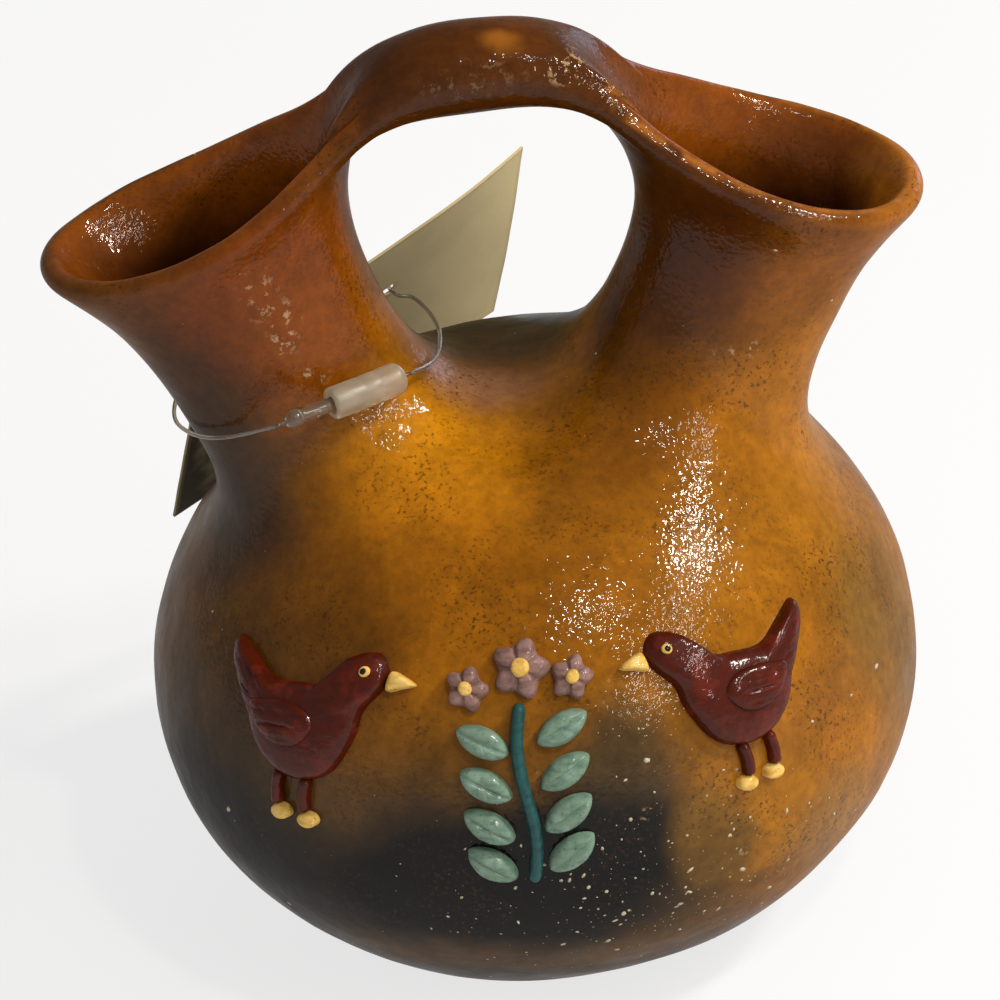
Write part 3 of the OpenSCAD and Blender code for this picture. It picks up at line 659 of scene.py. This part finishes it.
def oval(w, h, turn, count=40, pinch=0.0):
    """An oval outline, with pointed ends where pinch is above 0."""
    c, s = cos_sin(turn)
    made = []
    for i in range(count):
        a = 2 * math.pi * i / count
        x, y = w / 2 * math.cos(a), h / 2 * math.sin(a) * abs(math.sin(a)) ** pinch
        made.append(Vector((x * c - y * s, x * s + y * c)))
    return made


def petal_line(radius, count=80):
    made = []
    for i in range(count):
        a = 2 * math.pi * i / count
        q = radius * (0.86 + 0.14 * math.cos(5 * a))
        made.append(Vector((q * math.cos(a), q * math.sin(a))))
    return made


def lump(figure, centre, outline, height, base, scored=None):
    """A pressed-on lump of clay: points and faces. scored(q, f) gives the depth of scored lines."""
    centre = Vector(centre)
    count = len(outline)
    points = []
    rows = [(1.03, -0.7), (1.02, 0.0)]
    rows += [(f, None) for f in (1.0, 0.985, 0.95, 0.9, 0.82, 0.72, 0.6, 0.47, 0.34, 0.2, 0.08)]
    for f, fixed in rows:
        for q in outline:
            spot = centre + q * f
            if fixed is not None:
                out = base + fixed
            else:
                out = base + height * (0.12 + 0.88 * math.sqrt(max(0, 1 - f**4.5)))
                if scored:
                    out -= scored(q * f, f)
                bent = Vector((spot.x * 0.55, spot.y * 0.55, figure[0] * 0.3))
                out += 0.10 * noise.noise(bent)
            points.append(laid(figure, spot, out))
    dip = scored(Vector((0, 0)), 0) if scored else 0
    points.append(laid(figure, centre, base + height - dip))
    last = len(points) - 1
    faces = bands(len(rows), count)
    faces += [[last - count + i, last - count + (i + 1) % count, last] for i in range(count)]
    if figure[2] < 0:
        faces = [face[::-1] for face in faces]
    return points, faces


def strip(figure, path, width, height):
    """A rolled strip of clay along a path, half sunk in the wall, with round ends."""
    line = smooth_line([(p[0], p[1], 0) for p in path], 6, closed=False)
    points = []
    across = 10
    for i, spot in enumerate(line):
        ahead = (line[min(i + 1, len(line) - 1)] - line[max(i - 1, 0)]).normalized()
        side = Vector((ahead.y, -ahead.x, 0))
        end = min(i, len(line) - 1 - i)
        taper = math.sqrt(min(1, (end + 0.35) / 2.2))
        for j in range(across + 1):
            a = math.pi * (j / across * 1.3 - 0.15)
            off = spot - side * (width / 2 * taper * math.cos(a))
            out = 0.15 + height * taper * max(math.sin(a), -0.5) * (1 if math.sin(a) > 0 else 1.6)
            out += 0.05 * noise.noise(Vector((off.x, off.y, 3.0)))
            points.append(laid(figure, off, out))
    wide = across + 1
    faces = [[a, d, c, b] for a, b, c, d in bands(len(line), wide, closed=False)]
    faces.append(list(range(wide)))
    faces.append([len(points) - 1 - j for j in range(wide)])
    if figure[2] > 0:
        faces = [face[::-1] for face in faces]
    return points, faces


def joined(name, parts):
    points, faces = [], []
    for more_points, more_faces in parts:
        start = len(points)
        points += more_points
        faces += [[start + i for i in face] for face in more_faces]
    return outward(mesh_from(name, points, faces))


def slip_finish(name, tone, dark, light=None):
    """Brushed-on coloured slip under the same glaze, darker where it is thin."""
    f = Finish(name, **GLAZE, specular=0.06, roughness=0.42, coat_roughness=0.07)
    streak = f.node("Mapping", {0: f.place, 2: (0.3, 0.5, 0.2), 3: (1, 1, 3.2)}).outputs[0]
    brushed = f.node("TexNoise", {"Vector": streak, "Scale": 420.0, "Detail": 3.0}).outputs["Fac"]
    base = f.mix(f.band(brushed, 0.42, 0.68, 0.0, 0.7), tone, dark)
    if light:
        base = f.mix(f.band(f.noise(0.0035, 3), 0.52, 0.68, 0.0, 0.55), base, light)
    grain = f.band(f.noise(0.0005, 2, 0.6), 0.63, 0.70)
    base = f.mix(f.times(grain, 0.5), base, [c * 0.3 for c in dark])
    normal = f.bump(brushed, 0.25, 0.00025)
    normal = f.bump(f.noise(0.0010, 2.5, 0.55), 0.5, 0.0002, normal)
    return f.finish(base, f.band(brushed, 0.3, 0.7, 0.26, 0.42), normal, normal)


class WEDDING_VASE_OT_relief(bpy.types.Operator):
    """Painted clay birds and plant on the front of the belly"""

    bl_idname = "wedding_vase.relief"
    bl_label = "Clay relief"

    def execute(self, context):
        paint = context.scene.vase_relief
        cut = paint.groove / MM
        dark_maroon, light_maroon = (0.045, 0.006, 0.003), (0.15, 0.016, 0.006)
        maroon = slip_finish("maroon_slip", paint.maroon, dark_maroon, light_maroon)
        teal = slip_finish("teal_slip", paint.teal, (0.085, 0.16, 0.12), (0.27, 0.40, 0.33))
        stem = slip_finish("stem_slip", paint.deep_teal, (0.012, 0.045, 0.04))
        mauve = slip_finish("mauve_slip", paint.mauve, (0.13, 0.06, 0.055), (0.36, 0.21, 0.20))
        cream = slip_finish("cream_slip", paint.cream, (0.50, 0.27, 0.04), (0.88, 0.66, 0.26))
        eye = slip_finish("eye_slip", (0.012, 0.008, 0.006), (0.006, 0.004, 0.003))

        def tail(q, f):
            # three scored lines run down the tail
            if q.x > -5.5 or f > 0.97:
                return 0.0
            along = (q.y - 5.4 + (q.x + 9) * -0.42) * 1.9
            return cut * 1.2 * max(0, math.cos(along * math.pi)) ** 6 * min(1, (-5.5 - q.x) / 2)

        def feather(q, f):
            # scored feathers fan out along the wing
            along = q.y * 1.25 - q.x * 0.18
            ends = min(1, max(0, (2.6 - q.x) / 2))
            return cut * 1.1 * max(0, math.cos(along * math.pi)) ** 6 * ends

        def rib(turn):
            c, s = cos_sin(turn)

            def scored(q, f):
                u, v = q.x * c + q.y * s, -q.x * s + q.y * c
                side = max(0, math.cos((abs(v) * 1.1 - u * 1.25) * math.pi)) ** 8
                middle = math.exp(-((v / 0.28) ** 2))
                ends = min(1, (1 - f) * 6 + 0.1)
                return cut * (1.3 * middle + 0.5 * side * min(1, abs(v))) * ends

            return scored

        def petal(q, f):
            a = math.atan2(q.y, q.x)
            between = max(0, -math.cos(5 * a)) ** 4
            return cut * 2.0 * between * min(1, f * 1.6) * min(1, (1 - f) * 5 + 0.3)

        def pressed(node, parts, material, slot_name):
            piece(node + "_clay", joined(node + "_mesh", parts), material, slot_name, node)

        leaves, blossoms, centres = [], [], []
        for i in range(4):
            for g in (-1, 1):
                turn = g * (34 - i * 3)
                spot = (g * 5.4, -10.5 + i * 5.8 + g * 0.6)
                leaves.append(lump(PLANT, spot, oval(7.6, 4, turn, 56, 0.35), 1.7, 0.15, rib(turn)))
        for x, y, radius in ((0.4, 15.6, 4), (-7, 13.2, 3), (7.2, 13.8, 3)):
            blossoms.append(lump(PLANT, (x, y), petal_line(radius), 1.7, 0.15, petal))
            centres.append(lump(PLANT, (x, y), oval(radius * 0.6, radius * 0.6, 0), 0.8, 1.8))
        pressed("plant_leaves", leaves, teal, "teal_slip")
        pressed("plant_blossoms", blossoms, mauve, "mauve_slip")
        pressed("blossom_centres", centres, cream, "cream_slip")
        path = [(0.8 * cos_sin(i * 40)[1], -14 + i * 2.8) for i in range(10)]
        pressed("plant_stem", [strip(PLANT, path, 1.8, 1.3)], stem, "teal_slip")
        for side, bird in (("left", LEFT_BIRD), ("right", RIGHT_BIRD)):
            body = lump(bird, (0, 0), smooth_line(BODY_LINE, 5), 2.4, 0.15, tail)
            wing = lump(bird, (-0.8, 0), smooth_line(WING_LINE, 8), 1.0, 2.45, feather)
            beak = lump(bird, (13.9, 8.5), smooth_line(BEAK_LINE, 8), 1.3, 0.15)
            ring = lump(bird, (9.2, 9.2), oval(1.5, 1.4, 0, 24), 0.45, 1.9)
            pupil = lump(bird, (9.2, 9.2), oval(0.8, 0.8, 0, 20), 0.35, 2.35)
            legs, toes = [], []
            for x in (-1.8, 2.8):
                legs.append(strip(bird, [(x, -6.4), (x - 0.4, -9.3), (x - 0.2, -11.6)], 1.7, 1.3))
            for x in (-1.5, 3.1):
                toes.append(lump(bird, (x, -12.7), oval(3.2, 2.2, 8, 32), 1.2, 0.15))
            name = f"bird_{side}_"
            pressed(name + "body", [body], maroon, "maroon_slip")
            pressed(name + "wing", [wing], maroon, "maroon_slip")
            pressed(name + "beak", [beak], cream, "cream_slip")
            pressed(name + "legs", legs, maroon, "maroon_slip")
            pressed(name + "toes", toes, cream, "cream_slip")
            piece(name + "eye_ring", joined(name + "ring", [ring]), cream, "cream_slip")
            piece(name + "eye", joined(name + "pupil", [pupil]), eye, "maroon_slip")
        return {"FINISHED"}


# loop and tag

# the lock's middle and axis, and the tag's corner and frame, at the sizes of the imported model
LOCK = Vector((-20.035, -15.008, 92.277))
YAW, PITCH = cos_sin(26), cos_sin(1)
LOCK_AXIS = Vector((PITCH[0] * YAW[0], PITCH[0] * YAW[1], PITCH[1]))
LOCK_R, LOCK_HALF, SHANK, SHANK_R, BEAD_R = 2.3, 5.75, 5.75, 1.012, 1.403


def by_neck(q):
    return Vector((-0.564 * BELLY_R + q[0] * 32.5, q[1] * 28, BELLY_Z + DOME_H + q[2] * DOME_H))


def tag_frame():
    corner = by_neck((-0.342, 0.343, 0.004))
    turn = 127.8
    c, s = cos_sin(turn)
    a = (corner.x * c + corner.y * s) / BELLY_R
    b = (corner.z - BELLY_Z) / DOME_H
    lat = math.degrees(math.atan2(b, a) - math.acos(1 / math.hypot(a, b)))
    touch = wall(turn, lat, 0)
    normal = (wall(turn, lat, 1) - touch).normalized()
    along = (touch - corner).normalized()
    third = normal.cross(along)
    c, s = cos_sin(58.5)
    return corner, along * c - third * s, along * s + third * c, normal


TAG_CORNER, TAG_X, TAG_Y, TAG_N = tag_frame()
TAG_W, TAG_H, TAG_T = 61.5, 43.5, 0.4
HOLE = (TAG_W * 0.592, TAG_H * 0.3)


def on_tag(s, t, off):
    curl = TAG_W / 24 * (max(0, s) / TAG_W) ** 4 * (1 - max(0, t) / TAG_H) ** 1.5
    return TAG_CORNER + TAG_X * s + TAG_Y * t + TAG_N * (0.65 + off + curl)


def loop_route():
    """The filament's middle line from the barrel's closed end to the bead, in millimetres."""
    start = LOCK + LOCK_AXIS * (LOCK_HALF + 0.02)
    end = LOCK - LOCK_AXIS * (LOCK_HALF + SHANK + BEAD_R * cos_sin(68)[1] + 0.02)
    line = [start + LOCK_AXIS * i * 0.9 for i in range(3)]
    line += map(by_neck, (
        (0.622, -0.25, 0.146), (0.671, -0.018, 0.108), (0.689, 0.179, 0.099),
        (0.683, 0.393, 0.069), (0.658, 0.643, 0.034), (0.609, 0.893, 0),
    ))  # fmt: skip
    line += [
        on_tag(HOLE[0] + 0.3, HOLE[1] - 0.4, -1.6),
        on_tag(HOLE[0], HOLE[1] - 0.5, TAG_T / 2),
        on_tag(HOLE[0] - 0.8, HOLE[1] - 1.8, 1.6),
        on_tag(TAG_W * 0.525, TAG_H * 0.138, 1.8),
        on_tag(TAG_W * 0.483, TAG_H * 0.023, 1.6),
        on_tag(TAG_W * 0.442, -1.8, 0),
    ]
    line += map(by_neck, (
        (0.169, 0.664, 0.155), (-0.031, 0.6, 0.129), (-0.215, 0.493, 0.095),
        (-0.369, 0.321, 0.056), (-0.462, 0.143, 0.013), (-0.486, -0.018, -0.009),
        (-0.443, -0.179, -0.004), (-0.351, -0.364, 0.026), (-0.234, -0.507, 0.069),
    ))  # fmt: skip
    line += [end - LOCK_AXIS * i * 0.9 for i in (2, 1, 0)]
    return smooth_line(line, 6, closed=False)


def nylon_finish(name, tone, see_through, roughness):
    f = Finish(name, roughness=roughness, ior=1.5, see_through=see_through)
    cloudy = f.mix(f.band(f.noise(0.0022, 3), 0.35, 0.65), tone, [c * 0.88 for c in tone])
    normal = f.bump(f.noise(0.0006, 2), 0.15, 0.00005)
    return f.finish(cloudy, None, normal)


class WEDDING_VASE_OT_loop(bpy.types.Operator):
    """Nylon filament with its push-in lock"""

    bl_idname = "wedding_vase.loop"
    bl_label = "Tag loop"

    def execute(self, context):
        tag = context.scene.vase_tag
        milky = nylon_finish("milky_nylon", tag.nylon, 0.72, 0.38)
        clear = nylon_finish("clear_nylon", (0.44, 0.36, 0.27), 0.84, 0.16)

        # a tube of twelve sides along the route
        route = loop_route()
        points = []
        across = Vector((0, 0, 1))
        sides = 12
        radius = tag.filament / MM / 2
        for i, spot in enumerate(route):
            ahead = (route[min(i + 1, len(route) - 1)] - route[max(i - 1, 0)]).normalized()
            across = (across - ahead * across.dot(ahead)).normalized()
            up = ahead.cross(across)
            for k in range(sides):
                a = 2 * math.pi * k / sides
                points.append(spot + (across * math.cos(a) + up * math.sin(a)) * radius)
        faces = bands(len(route), sides)
        faces.append(list(range(sides))[::-1])
        faces.append([len(points) - sides + k for k in range(sides)])
        mesh = mesh_from("line", points, faces)
        line = piece("loop_line", mesh, clear, "clear_nylon", "loop_filament")

        # barrel and plug, turned about the lock's axis
        side = Vector((0, 0, 1)).cross(LOCK_AXIS).normalized()
        stand = Matrix.Translation(LOCK * MM) @ Matrix(
            (side, LOCK_AXIS.cross(side), LOCK_AXIS)
        ).transposed().to_4x4()
        h, r, bore = LOCK_HALF, LOCK_R, SHANK_R + 0.14
        barrel = [(0, 0.0), (bore, 0.0), (bore, -h + 0.35), (bore + 0.15, -h + 0.08)]
        barrel += [(bore + 0.3, -h), (r - 0.4, -h), (r - 0.12, -h + 0.1)]
        barrel += [(r, -h + 0.4), (r, -h + 0.9)]
        # two moulded rings round the middle
        for at in (-0.9, 1.6):
            barrel += [(r - 0.02, at - 0.5), (r - 0.09, at - 0.16)]
            barrel += [(r - 0.09, at + 0.16), (r - 0.02, at + 0.5)]
        c = r * 0.65
        barrel += [(r, h - c)]
        for a in range(10, 90, 10):
            x, y = cos_sin(a)
            barrel.append((r - c + c * x, h - c + c * y))
        barrel += [(r - c, h), (0.5, h), (0, h)]
        tip = -h - SHANK
        plug = [(0, -0.4), (SHANK_R * 0.55, -0.42), (SHANK_R * 0.85, -0.6), (SHANK_R, -1.0)]
        plug += [(SHANK_R * 0.8, -1.6), (SHANK_R, -1.9), (SHANK_R, -h - 0.6)]
        plug += [(SHANK_R * 0.93, tip + BEAD_R * 1.1)]
        for a in range(44, -69, -8):
            x, y = cos_sin(a)
            plug.append((BEAD_R * x, tip + BEAD_R * y))
        plug.append((0, tip + BEAD_R * y))
        for name, profile, material, node in (
            ("lock_barrel", barrel, milky, "loop_barrel"),
            ("lock_plug", plug, clear, "loop_plug"),
        ):
            spots, rings = lathe(profile)
            mesh = mesh_from(name, spots, rings)
            mesh.transform(stand)
            piece(name, outward(mesh), material, "white_nylon", node)
        return {"FINISHED"}


class WEDDING_VASE_OT_tag(bpy.types.Operator):
    """Bare cream paper tag behind the vase"""

    bl_idname = "wedding_vase.tag"
    bl_label = "Paper tag"

    def execute(self, context):
        tag = context.scene.vase_tag
        f = Finish("cream_paper", roughness=0.85, specular=0.25)
        fibres = f.noise(0.0007, 5, 0.7)
        tone = f.mix(f.band(f.noise(0.02, 3), 0.35, 0.65), tag.paper, [c * 0.86 for c in tag.paper])
        tone = f.mix(f.band(fibres, 0.56, 0.70, 0.0, 0.35), tone, (0.60, 0.49, 0.27))
        # painted shade: the end that hangs beside the belly, in the shade of the vase, is painted
        # nearly black
        x = f.node("SeparateXYZ", {0: f.place}).outputs[0]
        low = f.band(f.maths("ADD", x, f.times(f.noise(0.004, 3), 0.006)), -0.036, -0.043)
        tone = f.mix(f.times(low, 0.92), tone, (0.020, 0.014, 0.009))
        edge = f.attribute("rim")
        tone = f.mix(f.times(edge, 0.5), tone, (0.50, 0.40, 0.21))
        material = f.finish(tone, None, f.bump(fibres, 0.35, 0.0001))

        bm = bmesh.new()
        rim = bm.verts.layers.float.new("rim")
        cols, rows = 72, 54
        grid = {}
        hub = 1.2
        for side, off in ((0, 0.0), (1, TAG_T)):
            for i in range(cols + 1):
                for j in range(rows + 1):
                    s, t = TAG_W * i / cols, TAG_H * j / rows
                    # points beside the punched hole are pulled to its edge
                    du, dv = s - HOLE[0], t - HOLE[1]
                    gone = math.hypot(du, dv)
                    if gone < hub + 0.45 and gone > 1e-6:
                        s, t = HOLE[0] + du / gone * hub, HOLE[1] + dv / gone * hub
                    ripple = 0.10 * noise.noise(Vector((s * 0.09, t * 0.11, 0)))
                    vert = bm.verts.new(on_tag(s, t, off + ripple) * MM)
                    near = min(s, t, TAG_W - s, TAG_H - t)
                    vert[rim] = 1.0 if near < 0.05 or abs(gone - hub) < 0.5 else 0.0
                    grid[side, i, j] = vert

        def solid(i, j):
            s, t = TAG_W * (i + 0.5) / cols, TAG_H * (j + 0.5) / rows
            inside = 0 <= i < cols and 0 <= j < rows
            return inside and math.hypot(s - HOLE[0], t - HOLE[1]) >= hub

        for i in range(cols):
            for j in range(rows):
                if not solid(i, j):
                    continue
                spots = ((i, j), (i + 1, j), (i + 1, j + 1), (i, j + 1))
                for side in (0, 1):
                    ring = [grid[side, *spot] for spot in spots]
                    bm.faces.new(ring if side else ring[::-1])
                # a wall where the paper ends, at the card's edge and round the hole
                for k, beyond in enumerate(((i, j - 1), (i + 1, j), (i, j + 1), (i - 1, j))):
                    if not solid(*beyond):
                        a, b = spots[k], spots[(k + 1) % 4]
                        bm.faces.new([grid[0, *a], grid[0, *b], grid[1, *b], grid[1, *a]])
        loose = [v for v in bm.verts if not v.link_faces]
        bmesh.ops.delete(bm, geom=loose, context="VERTS")
        bmesh.ops.recalc_face_normals(bm, faces=bm.faces)
        mesh = bpy.data.meshes.new("paper")
        bm.to_mesh(mesh)
        bm.free()
        made = piece("hang_tag", mesh, material, "cream_paper", "paper_tag")
        for face in made.data.polygons:
            face.use_smooth = False
        return {"FINISHED"}


# stage

# the camera's turn, height angle and roll in degrees, its aim in millimetres,
# its distance in metres and its lens in millimetres
CAMERA_TURN = (-2.54, 30.6, -5.79)
CAMERA_AIM = Vector((-2.8, 0, 63.5))
CAMERA_AWAY = 0.8155
CAMERA_LENS = 207.5
# half the floor's side, and the middle that the lamps point at, in metres
FLOOR = 3.0
MIDDLE = Vector((0, 0, 0.07))


def lamp(name, spot, size, energy, tone):
    data = bpy.data.lights.new(name, "AREA")
    data.shape = "DISK"
    data.size = size
    data.energy = energy
    data.color = tone
    made = add_object(name, data)
    made.location = spot
    made.rotation_euler = (MIDDLE - Vector(spot)).to_track_quat("-Z", "Y").to_euler()
    return made


class WEDDING_VASE_OT_stage(bpy.types.Operator):
    """Pale floor, soft lamps and the camera"""

    bl_idname = "wedding_vase.stage"
    bl_label = "Stage"

    def execute(self, context):
        look = context.scene.vase_stage
        scene = context.scene

        # a little above the vase and turned a few degrees, with a long lens
        (ca, sa), (ce, se), (cr, sr) = (cos_sin(a) for a in CAMERA_TURN)
        back = Vector((sa * ce, -ca * ce, se))
        level = (-back).cross(Vector((0, 0, 1))).normalized()
        upright = level.cross(-back)
        right = level * cr + upright * sr
        up = upright * cr - level * sr
        camera = add_object("camera", bpy.data.cameras.new("camera"))
        spot = Matrix.Translation(CAMERA_AIM * MM + back * CAMERA_AWAY)
        camera.matrix_world = spot @ Matrix((right, up, back)).transposed().to_4x4()
        camera.data.sensor_width = 36
        camera.data.lens = CAMERA_LENS
        camera.data.clip_start = 0.01
        scene.camera = camera

        corners = [(-FLOOR, -FLOOR, 0), (FLOOR, -FLOOR, 0), (FLOOR, FLOOR, 0), (-FLOOR, FLOOR, 0)]
        floor = mesh_from("floor", corners, [[0, 1, 2, 3]], 1)
        f = Finish("pale_floor", roughness=0.9, specular=0.1)
        floor.materials.append(f.finish(look.floor))
        # white to the eye and in gloss and clear nylon, and it keeps the shadow
        path = f.node("LightPath").outputs
        seen = f.maths("ADD", path["Is Camera Ray"], path["Is Glossy Ray"])
        seen = f.maths("ADD", seen, path["Is Transmission Ray"], clamp=True)
        glow = f.node("Emission", {0: (1, 1, 1), 1: 1.0}).outputs[0]
        parts = {0: f.times(seen, 0.75), 1: f.shader.outputs[0], 2: glow}
        put(f.tree, f.out.inputs[0], f.node("MixShader", parts).outputs[0])
        ground = add_object("floor", floor)

        # soft light all round, paler toward the horizon than overhead
        world = scene.world = bpy.data.worlds.new("studio")
        world.use_nodes = True
        tree = world.node_tree
        tree.nodes.clear()

        def node(kind, inputs=(), **settings):
            return add_node(tree, "ShaderNode" + kind, inputs, **settings).outputs

        up = node("SeparateXYZ", {0: node("TexCoord")["Generated"]})[2]
        paler = node("MapRange", {0: up, 1: 0.0, 2: 0.7, 3: 1.5, 4: 0.7})[0]
        strength = node("Math", {0: paler, 1: look.world}, operation="MULTIPLY")[0]
        node("OutputWorld", {0: node("Background", {0: (1, 0.99, 0.975), 1: strength})[0]})

        lamp("key_lamp", (0.80, -0.11, 0.93), 0.13, look.key, (1, 0.94, 0.84))
        lamp("front_lamp", (0.30, -0.56, 1.01), 0.09, look.front, (1, 0.95, 0.88))
        tube = lamp("tube_lamp", (0.66, -0.62, 0.72), 0.9, look.tube, (1, 0.95, 0.88))
        tube.data.shape = "RECTANGLE"
        tube.data.size_y = 0.035
        # the tube runs from the upper right down to the front
        along = Vector((-0.24, -0.62, -0.30)).normalized()
        facing = (tube.location - MIDDLE).normalized()
        along = (along - facing * along.dot(facing)).normalized()
        tube.rotation_euler = Matrix((along, facing.cross(along), facing)).transposed().to_euler()
        lamp("window_light", (0.62, 0.75, 0.22), 0.35, look.window, (0.62, 0.74, 1))
        scene.view_settings.view_transform = "Standard"
        return {"FINISHED"}


# panel

class WEDDING_VASE_PT_panel(bpy.types.Panel):
    """Steps and settings of the wedding vase"""

    bl_label = "Wedding Vase"
    bl_idname = "WEDDING_VASE_PT_panel"
    bl_space_type = "VIEW_3D"
    bl_region_type = "UI"
    bl_category = "Wedding Vase"

    def draw(self, context):
        for operator in OPERATORS:
            self.layout.operator(operator.bl_idname)
        for name, kind in GROUPS.items():
            box = self.layout.box()
            for key in kind.__annotations__:
                box.prop(getattr(context.scene, name), key)


GROUPS = {
    "vase_clay": VaseClay,
    "vase_relief": VaseRelief,
    "vase_tag": VaseTag,
    "vase_stage": VaseStage,
}
OPERATORS = (
    WEDDING_VASE_OT_stage,
    WEDDING_VASE_OT_tag,
    WEDDING_VASE_OT_loop,
    WEDDING_VASE_OT_skin,
    WEDDING_VASE_OT_flecks,
    WEDDING_VASE_OT_relief,
)


def register():
    for made in (*GROUPS.values(), *OPERATORS, WEDDING_VASE_PT_panel):
        bpy.utils.register_class(made)
    for name, group in GROUPS.items():
        setattr(bpy.types.Scene, name, PointerProperty(type=group))


def unregister():
    for name in GROUPS:
        delattr(bpy.types.Scene, name)
    for made in (WEDDING_VASE_PT_panel, *OPERATORS[::-1], *list(GROUPS.values())[::-1]):
        bpy.utils.unregister_class(made)


def main():
    register()
    bpy.ops.wedding_vase.stage()
    bpy.ops.wedding_vase.tag()
    bpy.ops.wedding_vase.loop()
    bpy.ops.wedding_vase.skin()
    bpy.ops.wedding_vase.flecks()
    bpy.ops.wedding_vase.relief()


if __name__ == "__main__":
    main()
